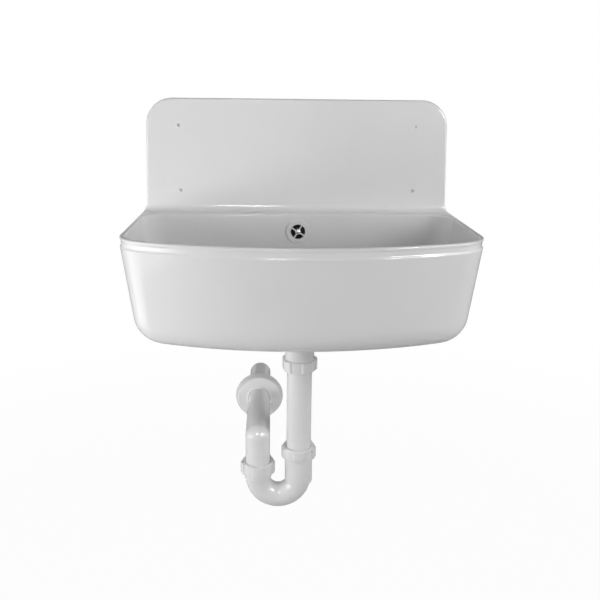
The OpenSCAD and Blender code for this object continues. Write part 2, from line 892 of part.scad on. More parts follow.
module union_washer() {
    color(RUBBER)
        at_waste(waste_end_z - union_washer_t)
            ring(collar_d, pipe_d, union_washer_t);
}

module tailpipe() {
    color(PLASTIC)
        at_waste(tail_end_z)
            difference() {
                union() {
                    cylinder(d = pipe_d, h = tail_len + collar_t / 2);
                    translate([0, 0, tail_len])
                        cylinder(d = collar_d, h = collar_t);
                }
                translate([0, 0, -cut])
                    cylinder(d = pipe_d - 2 * pipe_wall, h = tail_len + collar_t + 2 * cut);
            }
}

module glide_ring() {
    ring(thread_d - 2 * washer_gap, pipe_d + 2 * pipe_gap, glide_t);
}

// Slip nut, with its lip at the bottom and its mouth at the top
nut_d = thread_d + 2 * nut_shell;

module nut() {
    difference() {
        union() {
            cylinder(d = nut_d, h = nut_h);
            intersection() {
                cylinder(d = nut_d + 2 * lug_proud, h = nut_h);
                for (i = [0:nut_lugs - 1])
                    rotate([0, 0, 360 * i / nut_lugs])
                        translate([0, -lug_w / 2, 0])
                            cube([nut_d, lug_w, nut_h]);
            }
        }
        translate([0, 0, -cut])
            cylinder(d = pipe_d + 2 * pipe_gap, h = nut_h + 2 * cut);
        translate([0, 0, nut_lip])
            cylinder(d = thread_d + 2 * fit, h = nut_h);
    }
}

module union_glide_ring() {
    color(PLASTIC)
        at_waste(collar_z - glide_t)
            glide_ring();
}

module union_nut() {
    color(PLASTIC)
        at_waste(collar_z - glide_t - nut_lip)
            rotate([0, 0, union_nut_turn])
                nut();
}

// Slip joint on the U-bend, with the socket's mouth at z = 0 and the pipe leaving upwards
nut_top = seal_flange_t + glide_t + nut_lip;
thread_h = nut_h - nut_top + cut;
seal_tip_d = pipe_d + seal_cone_t / 2;
seal_top_d = pipe_d + 2 * seal_cone_t;

module tapered_seal() {
    color(RUBBER)
        difference() {
            union() {
                cylinder(d = thread_d - 2 * washer_gap, h = seal_flange_t);
                translate([0, 0, -seal_cone_h])
                    cylinder(d1 = seal_tip_d, d2 = seal_top_d, h = seal_cone_h);
            }
            translate([0, 0, -seal_cone_h - cut])
                cylinder(d = pipe_d + 2 * fit, h = seal_cone_h + seal_flange_t + 2 * cut);
        }
}

// Chamfer in the socket's mouth that the tapered seal enters
module seal_seat() {
    gap = 2 * fit;
    translate([0, 0, -seal_cone_h - gap])
        cylinder(d1 = seal_tip_d + gap, d2 = seal_top_d + gap, h = seal_cone_h + gap);
    cylinder(d = seal_top_d + gap, h = cut);
}

module slip_nut() {
    translate([0, 0, nut_top])
        mirror([0, 0, 1])
            nut();
}

inlet_z = tail_end_z + inlet_depth;
bend_z = tail_end_z - end_gap;
bend_r = leg_spacing / 2;
outlet_z = bend_z + end_gap + outlet_depth;
inlet_socket_d = pipe_d + 2 * inlet_socket_t;
outlet_socket_d = pipe_d + 2 * outlet_socket_t;

module at_inlet() {
    at_waste(inlet_z)
        children();
}

module at_outlet() {
    translate([-leg_spacing, -waste_from_wall, outlet_z])
        children();
}

module inlet_seal() {
    at_inlet()
        tapered_seal();
}

module inlet_glide_ring() {
    color(PLASTIC)
        at_inlet()
            translate([0, 0, seal_flange_t])
                glide_ring();
}

module inlet_nut() {
    color(PLASTIC)
        at_inlet()
            rotate([0, 0, inlet_nut_turn])
                slip_nut();
}

module outlet_seal() {
    at_outlet()
        tapered_seal();
}

module outlet_glide_ring() {
    color(PLASTIC)
        at_outlet()
            translate([0, 0, seal_flange_t])
                glide_ring();
}

module outlet_nut() {
    color(PLASTIC)
        at_outlet()
            rotate([0, 0, outlet_nut_turn])
                slip_nut();
}

// Turn of the U-bend from one leg's axis to the other, as a solid rod of diameter d
module u_turn(d) {
    at_waste(bend_z)
        rotate([180, 0, 0])
            rotate([0, 0, 180])
                bend(bend_r, 180, d);
}

module u_bend() {
    color(PLASTIC)
        difference() {
            union() {
                u_turn(pipe_d);
                at_waste(bend_z - inlet_skirt)
                    cylinder(d = inlet_socket_d, h = inlet_z - bend_z + inlet_skirt);
                at_inlet()
                    translate([0, 0, -thread_h])
                        cylinder(d = thread_d, h = thread_h);
                at_outlet()
                    translate([0, 0, bend_z - outlet_z - cut])
                        cylinder(d = outlet_socket_d, h = outlet_z - bend_z + cut);
                at_outlet()
                    translate([0, 0, -thread_h])
                        cylinder(d = thread_d, h = thread_h);
            }
            u_turn(pipe_d - 2 * pipe_wall);
            at_waste(bend_z)
                cylinder(d = pipe_d + 2 * pipe_gap, h = inlet_z - bend_z + cut);
            at_outlet()
                translate([0, 0, bend_z - outlet_z])
                    cylinder(d = pipe_d + 2 * pipe_gap, h = outlet_z - bend_z + cut);
            at_inlet()
                seal_seat();
            at_outlet()
                seal_seat();
        }
}

// Outlet pipe: up from the U-bend, round a tight knuckle and straight back through the wall
outlet_axis_z = outlet_z + outlet_rise;

module outlet_run(d, extra) {
    translate([-leg_spacing, -waste_from_wall, tail_end_z - extra])
        cylinder(d = d, h = outlet_axis_z - tail_end_z + extra);
    translate([-leg_spacing, -waste_from_wall, outlet_axis_z])
        sphere(d = d + 2 * knuckle_swell);
    translate([-leg_spacing, -waste_from_wall, outlet_axis_z])
        rotate([-90, 0, 0])
            cylinder(d = d, h = stub_len + waste_from_wall + extra);
}

module outlet_elbow() {
    color(PLASTIC)
        difference() {
            outlet_run(pipe_d, 0);
            outlet_run(pipe_d - 2 * pipe_wall, cut);
            translate([-leg_spacing, 0, outlet_axis_z])
                rotate([-90, 0, 0])
                    ring(pipe_d + 2 * cut, pipe_d - 2 * mark_depth, mark_w);
        }
}

// Rosette: a drum with a sloping rim that slides on the outlet pipe and rests on the wall
module wall_rosette() {
    bore = pipe_d / 2 + pipe_gap;
    collar = bore + rosette_t;
    rim = rosette_d / 2;
    edge = rosette_edge;
    h = rosette_h;
    t = rosette_t;
    color(PLASTIC)
        translate([-leg_spacing, 0, outlet_axis_z])
            rotate([90, 0, 0])
                rotate_extrude()
                    polygon([
                        [rim - t, 0], [rim, 0], [rim, edge], [rim - 2 * t, 0.75 * h],
                        [collar + cut, 0.88 * h], [collar, h], [bore, h], [bore, 0.5 * h],
                        [collar, 0.5 * h], [collar + cut, 0.88 * h - t], [rim - 3 * t, 0.75 * h - t],
                        [rim - t - cut, edge - cut],
                    ]);
}

basin();
overflow_grille();
overflow_screw();
overflow_gasket();
overflow_housing();
overflow_pipe();
housing_seal();
housing_nut();
port_seal();
port_nut();
waste_strainer();
strainer_gasket();
waste_gasket();
waste_body();
waste_insert();
waste_screw();
union_washer();
union_glide_ring();
union_nut();
tailpipe();
inlet_seal();
inlet_glide_ring();
inlet_nut();
u_bend();
outlet_seal();
outlet_glide_ring();
outlet_nut();
outlet_elbow();
wall_rosette();
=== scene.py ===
# %% [markdown]
# # Plastic utility sink
# A wall-hung utility sink is one injection moulding, bowl and splashback together, with a white
# slip-joint trap under it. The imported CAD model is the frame: every body, level and axis comes
# from it. What follows gives the pieces the radii, the joints and the finish that a mould gives.
# It is a lesson in turned profiles, lofted rings and a few small Geometry Nodes trees.

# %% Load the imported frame
import json
from functools import partial
from math import atan, atan2, cos, degrees, hypot, pi, radians, sin, sqrt, tan

import bmesh
import bpy
from mathutils import Matrix, Vector


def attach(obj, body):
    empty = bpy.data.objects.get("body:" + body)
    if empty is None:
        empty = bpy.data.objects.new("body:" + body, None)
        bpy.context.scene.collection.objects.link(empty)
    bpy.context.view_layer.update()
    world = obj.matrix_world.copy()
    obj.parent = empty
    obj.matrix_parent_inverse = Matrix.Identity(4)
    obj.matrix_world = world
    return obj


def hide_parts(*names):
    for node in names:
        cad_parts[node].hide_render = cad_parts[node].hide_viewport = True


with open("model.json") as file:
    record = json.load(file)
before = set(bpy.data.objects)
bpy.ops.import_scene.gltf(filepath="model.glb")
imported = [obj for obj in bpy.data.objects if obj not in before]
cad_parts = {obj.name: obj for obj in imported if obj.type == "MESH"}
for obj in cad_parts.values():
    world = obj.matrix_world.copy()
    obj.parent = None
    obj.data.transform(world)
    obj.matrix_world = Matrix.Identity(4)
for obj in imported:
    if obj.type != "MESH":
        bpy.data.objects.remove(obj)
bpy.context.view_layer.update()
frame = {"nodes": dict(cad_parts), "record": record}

MM = 0.001
nodes = frame["nodes"]

# %% [markdown]
# ## Camera
# The photograph was taken a little left of the middle, from about 1.2 m, looking down on the
# bowl. A camera is a place, a turn and a lens. The lens follows from the focal length in pixels:
# the picture is 600 pixels wide and the sensor 36 mm.


# %% Camera
def linked(name, data):
    """Makes an object from its data and puts it in the scene."""
    made = bpy.data.objects.new(name, data)
    bpy.context.scene.collection.objects.link(made)
    return made


PICTURE = 600
FOCAL_PIXELS = 710.035
PITCH, YAW, ROLL = -15.086, -2.346, 0.604
CAMERA_PLACE = (-0.043889, -1.236109, 0.082509)

view = bpy.data.cameras.new("photo_camera")
view.sensor_width = 36
view.lens = FOCAL_PIXELS / PICTURE * view.sensor_width
camera = linked("photo_camera", view)
camera.matrix_world = (
    Matrix.Translation(CAMERA_PLACE)
    @ Matrix.Rotation(radians(YAW), 4, "Z")
    @ Matrix.Rotation(radians(90 + PITCH), 4, "X")
    @ Matrix.Rotation(radians(ROLL), 4, "Z")
)
bpy.context.scene.camera = camera
bpy.context.scene.view_settings.view_transform = "Standard"
print("lens", round(view.lens, 2), "mm")

# %% [markdown]
# ## Colours and nodes
# Colours are written as on a paint card, in sRGB hex, and turned to linear by one function.
# A second function adds a node to any tree, with its settings and what feeds its sockets. Others
# give a node's first output, sums and ranges, and one starts a material.


# %% Colour and node helpers
def linear(code):
    """Turns an sRGB hex colour into the linear colour that a shader takes."""
    parts = [int(code[i : i + 2], 16) / 255 for i in (1, 3, 5)]
    return (*[p / 12.92 if p <= 0.04045 else ((p + 0.055) / 1.055) ** 2.4 for p in parts], 1)


def add(tree, kind, feeds=None, **settings):
    """Adds a node, gives it its settings and fills or links its input sockets."""
    made = tree.nodes.new(kind)
    for key, value in settings.items():
        setattr(made, key, value)
    for key, value in (feeds or {}).items():
        socket = made.inputs[key]
        if isinstance(value, bpy.types.NodeSocket):
            tree.links.new(value, socket)
        else:
            socket.default_value = value
    return made


def wire(tree, kind, feeds=None, **settings):
    """Adds a node and gives its first output."""
    return add(tree, kind, feeds, **settings).outputs[0]


def maths(tree, operation, *values):
    """Result of one Math node."""
    return wire(tree, "ShaderNodeMath", dict(enumerate(values)), operation=operation)


def fade(tree, value, low, high, at_low, at_high, kind="SMOOTHSTEP"):
    """Goes from one value to another between two limits, smoothly unless told otherwise."""
    feeds = {"Value": value, "From Min": low, "From Max": high, "To Min": at_low, "To Max": at_high}
    return wire(tree, "ShaderNodeMapRange", feeds, interpolation_type=kind)


def new_material(name):
    """Makes a material with an empty node tree, and gives both."""
    made = bpy.data.materials.new(name)
    made.use_nodes = True
    made.node_tree.nodes.clear()
    return made, made.node_tree


print("white", [round(c, 3) for c in linear("#FFFFFF")])

# %% [markdown]
# ## Patterns
# Every finish here is made alike: noise of a real size drives the colour, noise also gives a
# fine bump, and one shader ends it.


# %% Pattern helpers
def noise(tree, place, size, **sockets):
    """Noise with blotches of a size in mm."""
    feeds = {"Vector": place, "Scale": 1 / (size * MM), **sockets}
    return add(tree, "ShaderNodeTexNoise", feeds).outputs["Fac"]


def tinted(tree, share, first, second):
    """One hex colour mixed into another."""
    feeds = {0: share, 6: linear(first), 7: linear(second)}
    return add(tree, "ShaderNodeMix", feeds, data_type="RGBA").outputs[2]


def end_material(tree, height, strength, depth, sockets):
    """Ends a material in a bump of a depth in mm and a shader with its sockets fed."""
    feeds = {"Height": height, "Strength": strength, "Distance": depth * MM}
    normal = wire(tree, "ShaderNodeBump", feeds)
    shader = wire(tree, "ShaderNodeBsdfPrincipled", {**sockets, "Normal": normal})
    add(tree, "ShaderNodeOutputMaterial", {"Surface": shader})


print("pattern helpers ready")

# %% [markdown]
# ## Moulded plastics
# Bowl and fittings are polypropylene, injection moulded. Such a skin is never quite even: the
# melt leaves clouds a few centimetres across, and the spark-eroded mould prints a fine grain,
# here 0.5 mm, which softens the edges of reflections. The grain is too fine to see, so its bump
# stays at a hundredth of a millimetre. A polished mould gives the bowl its gloss.


# %% Moulded plastics
CLOUD = 60


def moulded_plastic(name, colour, cloud_colour, roughness, grain, depth, ior=1.49):
    """Opaque moulded plastic: clouds of colour and gloss, and the grain of the mould in mm."""
    material, tree = new_material(name)
    place = add(tree, "ShaderNodeTexCoord").outputs["Object"]
    clouds = noise(tree, place, CLOUD, Detail=2.0, Roughness=0.5)
    skin = noise(tree, place, grain, Detail=3.0, Roughness=0.55)
    sockets = {
        "Base Color": tinted(tree, clouds, colour, cloud_colour),
        "Roughness": fade(tree, clouds, 0.3, 0.7, roughness - 0.02, roughness + 0.03, "LINEAR"),
        "IOR": ior,
    }
    end_material(tree, skin, 0.5, depth, sockets)
    return material


LOOKS = {
    "basin_plastic": ("bowl_polished_mould", "#EDEDED", "#E9E9E9", 0.11, 0.5, 0.01),
    "fitting_plastic": ("fitting_gloss_moulded", "#ECECEC", "#E7E7E7", 0.17, 0.5, 0.01),
    "housing_plastic": ("housing_dark_moulded", "#38383A", "#303032", 0.35, 0.5, 0.02),
}
finishes = {
    slot: moulded_plastic("polypropylene_" + name, *look) for slot, (name, *look) in LOOKS.items()
}
finishes["ring_plastic"] = moulded_plastic(
    "polyethylene_glide_ring_moulded", "#DCDCD6", "#D5D5CE", 0.42, 0.4, 0.02, 1.51
)
print("plastics", [finish.name for finish in finishes.values()])

# %% [markdown]
# ## Rubber
# Gaskets and seals are black nitrile rubber, pressed in a blasted mould. It is dull, nearly
# black, and dusty pale where it has been handled, in specks of about 2 mm.

# %% Rubber
DUST = 2
seal_rubber, rubber_tree = new_material("nitrile_rubber_pressed_matte")
rubber_place = add(rubber_tree, "ShaderNodeTexCoord").outputs["Object"]
rubber_dust = noise(rubber_tree, rubber_place, DUST, Detail=4.0)
rubber_ramp = add(rubber_tree, "ShaderNodeValToRGB", {"Fac": rubber_dust})
clean, dusty = rubber_ramp.color_ramp.elements
clean.position, clean.color = 0.35, linear("#262628")
dusty.position, dusty.color = 0.85, linear("#3A3A3C")
rubber_sockets = {"Base Color": rubber_ramp.outputs["Color"], "Roughness": 0.62, "IOR": 1.52}
end_material(rubber_tree, rubber_dust, 0.6, 0.03, rubber_sockets)
finishes["seal_rubber"] = seal_rubber
print("rubber", seal_rubber.name)

# %% [markdown]
# ## Metals
# The strainer and both screws are stainless steel, rolled sheet and turned bar with a satin
# brush. The brush leaves scratches 0.4 mm apart and many times as long, so one noise is stretched
# along one axis. The insert is brass, turned, with a tool mark every 0.5 mm along its axis.


# %% Metals
def brushed_metal(name, colour, worn, roughness, spacing, along):
    """Metal with fine lines: spacing apart in mm, drawn out along one axis."""
    material, tree = new_material(name)
    place = add(tree, "ShaderNodeTexCoord").outputs["Object"]
    drawn = wire(tree, "ShaderNodeMapping", {"Vector": place, "Scale": along})
    lines = noise(tree, drawn, spacing, Detail=2.0)
    sockets = {
        "Base Color": tinted(tree, lines, colour, worn),
        "Metallic": 1.0,
        "Roughness": fade(tree, lines, 0.0, 1.0, roughness - 0.06, roughness + 0.08, "LINEAR"),
    }
    end_material(tree, lines, 0.4, 0.01, sockets)
    return material


finishes["stainless_steel"] = brushed_metal(
    "stainless_steel_satin_brushed", "#C6C8C9", "#B4B6B8", 0.3, 0.4, (0.04, 1, 1)
)
finishes["insert_brass"] = brushed_metal(
    "brass_turned", "#C8A45E", "#B58F4A", 0.32, 0.5, (0.04, 0.04, 1)
)
print("finishes", list(finishes))

# %% [markdown]
# ## Making and joining meshes
# Sizes are in millimetres, as on a drawing, and become metres when a mesh is made. Most fittings
# are turned: a closed profile of (radius, height) points is swept round an axis. Corners get a
# radius first, because a moulded edge is never sharp, and it is the radius that catches light.
# Solids are joined and cut with the exact Manifold solver, as a toolmaker adds and mills steel.


# %% Turned bodies
HAIR = 1e-6
HERE = Matrix.Identity(4)


def bow(centre, reach, angles):
    """Points round a centre at angles in degrees, with a reach along each axis."""
    turns = [radians(a) for a in angles]
    return [(centre[0] + reach[0] * cos(t), centre[1] + reach[1] * sin(t)) for t in turns]


def rounded(points, radius, steps=4):
    """Rounds every corner of a closed profile that isn't on the axis."""
    made = []
    for i, point in enumerate(points):
        here = Vector(point)
        before = Vector(points[i - 1]) - here
        after = Vector(points[(i + 1) % len(points)]) - here
        reach = min(radius, 0.45 * before.length, 0.45 * after.length)
        if here.x < HAIR or reach < 0.02:
            made.append(tuple(here))
            continue
        first = here + before.normalized() * reach
        last = here + after.normalized() * reach
        for k in range(steps + 1):
            t = k / steps
            made.append(tuple((1 - t) ** 2 * first + 2 * t * (1 - t) * here + t * t * last))
    return made


def outward(piece):
    """Merges doubles and turns every face outwards."""
    body = bmesh.new()
    body.from_mesh(piece.data)
    bmesh.ops.remove_doubles(body, verts=body.verts, dist=1e-7)
    bmesh.ops.recalc_face_normals(body, faces=body.faces)
    body.to_mesh(piece.data)
    body.free()
    return piece


def new_piece(name, points, faces, place=HERE):
    """Makes an object at the origin from points in mm, with its place in its mesh."""
    mesh = bpy.data.meshes.new(name)
    mesh.from_pydata([tuple((place @ Vector(p)) * MM) for p in points], [], faces)
    return outward(linked(name, mesh))


def at(x, y, z, turn=0):
    """A place in mm, turned about the x axis by an angle in degrees."""
    return Matrix.Translation((x, y, z)) @ Matrix.Rotation(radians(turn), 4, "X")


def turned(name, profile, place=HERE, steps=96):
    """Sweeps a closed (radius, height) profile round the z axis of its place."""
    points, rows, faces = [], [], []
    for radius, height in profile:
        count = 1 if radius < HAIR else steps
        rows.append([len(points) + k for k in range(count)])
        points += [
            (radius * cos(2 * pi * k / steps), radius * sin(2 * pi * k / steps), height)
            for k in range(count)
        ]
    for low, high in zip(rows, rows[1:] + rows[:1]):
        for k in range(steps):
            ends = ((low, k), (low, k + 1), (high, k + 1), (high, k))
            corners = list(dict.fromkeys(row[i % steps % len(row)] for row, i in ends))
            if len(corners) > 2:
                faces.append(corners)
    return new_piece(name, points, faces, place)


def rod(name, radius, low, high, place=HERE, steps=96, edge=0.0):
    """A turned rod from one height to another, used to join and to cut."""
    profile = [(0, low), (radius, low), (radius, high), (0, high)]
    return turned(name, rounded(profile, edge) if edge else profile, place, steps)


def block(name, low, high):
    """A box between two corners, made from its eight points, as a blank."""
    points = [
        (x, y, z) for z in (low[2], high[2]) for y in (low[1], high[1]) for x in (low[0], high[0])
    ]
    faces = [(0, 1, 3, 2), (4, 5, 7, 6), (0, 1, 5, 4), (1, 3, 7, 5), (3, 2, 6, 7), (2, 0, 4, 6)]
    return new_piece(name, points, faces)


print("profile corners", len(rounded([(0, 0), (5, 0), (5, 5), (0, 5)], 1)))


# %% Joining, cutting and finishing
CREASE = 38


def baked(piece):
    """Turns what the modifiers make into a plain mesh and removes them."""
    seen = bpy.context.evaluated_depsgraph_get()
    mesh = bpy.data.meshes.new_from_object(piece.evaluated_get(seen))
    old = piece.data
    piece.modifiers.clear()
    piece.data = mesh
    bpy.data.meshes.remove(old)
    mesh.name = piece.name
    return piece


def combine(operation, piece, *tools):
    """Joins to or cuts from a piece each of the tools, and throws the tools away."""
    for tool in tools:
        step = piece.modifiers.new("step", "BOOLEAN")
        step.operation = operation
        step.solver = "MANIFOLD"
        step.object = tool
        baked(piece)
        bpy.data.meshes.remove(tool.data)
    return piece


def finished(piece, node, slot="fitting_plastic", body="sink"):
    """Smooths a piece, keeps its real edges, gives it its finish and ties it to its body."""
    mesh = piece.data
    mesh.materials.clear()
    mesh.materials.append(finishes[slot])
    mesh.polygons.foreach_set("material_index", [0] * len(mesh.polygons))
    mesh.shade_smooth()
    mesh.set_sharp_from_angle(angle=radians(CREASE))
    even = piece.modifiers.new("even", "WEIGHTED_NORMAL")
    even.keep_sharp = True
    baked(piece)
    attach(piece, body)
    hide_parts(node)
    print(piece.name, len(piece.data.polygons), "faces")
    return piece


join = partial(combine, "UNION")
cut = partial(combine, "DIFFERENCE")
print("tools ready")

# %% [markdown]
# ## The bowl's outlines
# Seen from above, the bowl is a trapezoid with a bowed front, two large front corners and two
# smaller rear ones. Every level of it, inside and outside, is one such outline with its own
# insets and radii. The bowl is then a stack of these rings, so its surface follows a rule and
# stays smooth. More steps than in the CAD give the radii an even shine.

# %% Sizes of the bowl
WIDTH, DEPTH, HEIGHT = 530, 350, 156
RIM_Z = -89.5
WALL = 4
RIM_W, BAND_H, BEAD_H, BEAD_FADE = 8, 15.5, 7, 4.5
SHOULDER_H, NECK_INSET, SHOULDER_INSET = 3.8, 1.7, 0.2
RIM_EDGE_R, MOUTH_EDGE_R = 2.5, 3
LEDGE_DEPTH = 46
FRONT_BOW_R, FRONT_CORNER_R, REAR_CORNER_R = 540, 70, 38
BOTTOM_R, FLOOR_FALL = 42, 3
TAPER = tan(radians(2))
SIDE_DRAFT, FRONT_DRAFT, REAR_DRAFT = (tan(radians(a)) for a in (7.5, 9, 4))
WASTE_Y = -172

BAND_Z = RIM_Z - BAND_H
UNDER_Z = RIM_Z - HEIGHT
ARC_Z = UNDER_Z + BOTTOM_R
FLOOR_Z = UNDER_Z + WALL
SEAT_Z = FLOOR_Z - FLOOR_FALL
RECESS_Z = SEAT_Z - 2.4
BOSS_Z = RECESS_Z - WALL
LAST_ANGLE = 10
print("rim", RIM_Z, "underside", UNDER_Z, "boss", BOSS_Z)


# %% Outlines
def arc(centre, radius, start, end, steps):
    """Points of an arc in degrees, without its last one."""
    angles = [start + (end - start) * i / steps for i in range(steps)]
    return bow(centre, (radius, radius), angles)


def line(first, last, steps):
    """Points of a straight line, without its last one."""
    return [tuple(a + (b - a) * i / steps for a, b in zip(first, last)) for i in range(steps)]


def outline(half_width, front, rear, front_r, rear_r, z):
    """Closed ring of one level, from the middle of the rear round by the right."""
    lean = hypot(1, TAPER)
    middle = FRONT_BOW_R + front
    a = half_width - front_r * lean
    b = 2 * (a * TAPER - middle)
    c = a * a + middle * middle - (FRONT_BOW_R - front_r) ** 2
    y = (-b - sqrt(b * b - 4 * lean**2 * c)) / (2 * lean**2)
    corner = (a + TAPER * y, y)
    rear_corner = (half_width + TAPER * (rear - rear_r) - rear_r * lean, rear - rear_r)
    out = (1 / lean, -TAPER / lean)
    turn = degrees(atan2(corner[1] - middle, corner[0]))
    right = (
        line((0, rear), (rear_corner[0], rear), 14)
        + arc(rear_corner, rear_r, 90, -2, 14)
        + line(
            tuple(p + rear_r * o for p, o in zip(rear_corner, out)),
            tuple(p + front_r * o for p, o in zip(corner, out)),
            10,
        )
        + arc(corner, front_r, -2, turn, 22)
        + arc((0, middle), FRONT_BOW_R, turn, -90, 30)
    )
    ring = right + [(0, front)] + [(-x, y) for x, y in right[:0:-1]]
    return [(x, y, z) for x, y in ring]


print("points in a ring", len(outline(WIDTH / 2, -DEPTH, 0, FRONT_CORNER_R, 2, RIM_Z)))


# %% Rings
LEAST_R = 3


def wall_insets(depth):
    """Insets of the drafted wall at a depth under the shoulder: side, front and rear."""
    rear_depth = depth + BAND_H - MOUTH_EDGE_R
    return depth * SIDE_DRAFT, depth * FRONT_DRAFT, rear_depth * REAR_DRAFT


def wall_ring(side, front, rear, z):
    """Ring of the wall under the rim."""
    front_r = max(FRONT_CORNER_R - (side + front) / 2, LEAST_R)
    rear_r = max(REAR_CORNER_R + WALL - (side + rear) / 2, LEAST_R)
    back = WALL - LEDGE_DEPTH - rear
    return outline(WIDTH / 2 - side, front - DEPTH, back, front_r, rear_r, z)


def bottom_ring(angle, thickness):
    """Ring on the radius between wall and floor, on the outer skin or the inner one."""
    side, front, rear = wall_insets(BAND_Z - ARC_Z + BOTTOM_R * sin(radians(LAST_ANGLE)))
    radius = BOTTOM_R - thickness
    reach = BOTTOM_R * cos(radians(LAST_ANGLE)) - radius * cos(radians(angle))
    z = ARC_Z - radius * sin(radians(angle))
    return wall_ring(side + reach, front + reach, rear + reach, z)


def rim_ring(inset, z):
    """Ring of the rim, which runs back to the wall plane."""
    return outline(WIDTH / 2 - inset, inset - DEPTH, 0, FRONT_CORNER_R - inset, 2, z)


def mouth_ring(inset, z):
    """Ring of the mouth's edge."""
    half_width, front = WIDTH / 2 - RIM_W - inset, RIM_W + inset - DEPTH
    corners = (FRONT_CORNER_R - RIM_W - inset, REAR_CORNER_R - inset)
    return outline(half_width, front, -LEDGE_DEPTH - inset, *corners, z)


def waste_ring(ring, radius, z):
    """Circle about the waste's axis, with one point towards each point of a ring."""
    made = []
    for x, y, _ in ring:
        length = hypot(x, y - WASTE_Y)
        made.append((radius * x / length, radius * (y - WASTE_Y) / length + WASTE_Y, z))
    return made


def between(first, last, share):
    """Ring part of the way from one ring to another."""
    return [tuple(a + (b - a) * share for a, b in zip(p, q)) for p, q in zip(first, last)]


print("bottom ring", [round(v, 1) for v in bottom_ring(LAST_ANGLE, 0)[0]])

# %% [markdown]
# ## The bowl
# The real bowl has a bead round its rim, a shallow neck under the bead and a soft shoulder from
# which the wall tapers. On that shoulder lies the long highlight of the photograph, so its curve
# matters: it is a smooth S over 3.8 mm. Rings are lofted from the waste's seat under the bowl, up
# the outside, over the rim and down the inside to the seat again.


# %% Loft of the bowl
def smooth(share):
    """An S from 0 to 1 with level ends."""
    return share * share * (3 - 2 * share)


def loft(name, rings):
    """Skins a stack of rings and closes both ends."""
    count = len(rings[0])
    last = (len(rings) - 1) * count
    faces = [
        [k + i, k + (i + 1) % count, k + count + (i + 1) % count, k + count + i]
        for k in range(0, last, count)
        for i in range(count)
    ]
    faces += [list(range(count)), list(range(last, last + count))]
    return new_piece(name, [p for ring in rings for p in ring], faces)


SEAT_R = 40
SHOULDER_STEPS, BEAD_STEPS = 10, 6
bottom_angles = [90, 84, 77, 70, 62, 54, 46, 38, 30, 22, 15, LAST_ANGLE]
quarter = range(0, 91, 18)
outer = [bottom_ring(a, 0) for a in bottom_angles]
inner = [bottom_ring(a, WALL) for a in reversed(bottom_angles)]
wall_top = wall_ring(SHOULDER_INSET, SHOULDER_INSET, wall_insets(0)[2], BAND_Z)
walls = [between(outer[-1], wall_top, i / 4) for i in (1, 2, 3, 4)]
shoulder = [
    rim_ring(
        SHOULDER_INSET + (NECK_INSET - SHOULDER_INSET) * smooth(i / SHOULDER_STEPS),
        BAND_Z + SHOULDER_H * i / SHOULDER_STEPS,
    )
    for i in range(SHOULDER_STEPS + 1)
]
bead = [
    rim_ring(NECK_INSET * (1 - smooth(i / BEAD_STEPS)), RIM_Z - BEAD_H + BEAD_FADE * i / BEAD_STEPS)
    for i in range(BEAD_STEPS + 1)
]
edge_round = bow((RIM_EDGE_R, RIM_Z - RIM_EDGE_R), (-RIM_EDGE_R, RIM_EDGE_R), quarter)
edge = [rim_ring(*place) for place in edge_round]
mouth_centre = (-MOUTH_EDGE_R, RIM_Z - MOUTH_EDGE_R)
mouth_round = bow(mouth_centre, (MOUTH_EDGE_R, MOUTH_EDGE_R), range(90, -1, -15))
mouth = [mouth_ring(*place) for place in mouth_round]
inside = [between(mouth[-1], inner[0], i / 4) for i in (1, 2, 3)]
under = [waste_ring(outer[0], SEAT_R, UNDER_Z - FLOOR_FALL)]
seated = [waste_ring(inner[-1], SEAT_R, SEAT_Z)]
rings = under + outer + walls + shoulder + bead + edge + mouth + inside + inner + seated
basin = loft("basin_moulding", rings)
print("bowl", len(basin.data.polygons), "faces")

# %% [markdown]
# ## Splashback and coves
# The splashback is a 4 mm plate with large upper corners. Its sides splay a little and sweep out
# into the rim through a cove. Its front edge is rounded, so that it catches light. A second cove,
# of 11 mm radius, runs along its foot, so that water has no corner to stand in. Its ends shrink
# to almost nothing where the plate meets the rim.

# %% Splashback
SPLASH_W, SPLASH_TOP, SPLASH_CORNER_R = 509, 98, 45
FLARE = tan(radians(1.9))
HOLES_X, HOLES_Z, HOLE_D = 400, 108, 5
SIDE_COVE_R, COVE_R = 12, 11
PLATE_EDGE_R, BACK_EDGE = 3.6, 0.5
FOOT = WIDTH / 2 - 0.6


def splash_x(z):
    """Half width of the splashback at a height."""
    return SPLASH_W / 2 + (HOLES_Z / 2 - z) * FLARE


def splash_outline():
    """Right half of the splashback's outline, from its foot to the top."""
    cove_w = FOOT - splash_x(RIM_Z + SIDE_COVE_R)
    corner_z = SPLASH_TOP - SPLASH_CORNER_R
    corner_x = splash_x(corner_z) - SPLASH_CORNER_R
    side_cove = bow((FOOT, RIM_Z + SIDE_COVE_R), (cove_w, SIDE_COVE_R), range(270, 179, -9))
    top_corner = bow((corner_x, corner_z), (SPLASH_CORNER_R, SPLASH_CORNER_R), range(0, 91, 5))
    foot_z = RIM_Z - (RIM_EDGE_R + BEAD_H) / 2
    return [(FOOT, foot_z), (FOOT, RIM_Z)] + side_cove[1:] + top_corner


def inset(points, distance):
    """Moves every point of a closed outline inwards along its own normal."""
    made = []
    for i, point in enumerate(points):
        here = Vector(point)
        before = (here - Vector(points[i - 1])).normalized()
        after = (Vector(points[(i + 1) % len(points)]) - here).normalized()
        normal = Vector((-(before.y + after.y), before.x + after.x)).normalized()
        spread = max(0.35, normal.dot(Vector((-after.y, after.x))))
        made.append(tuple(here + normal * distance / spread))
    return made


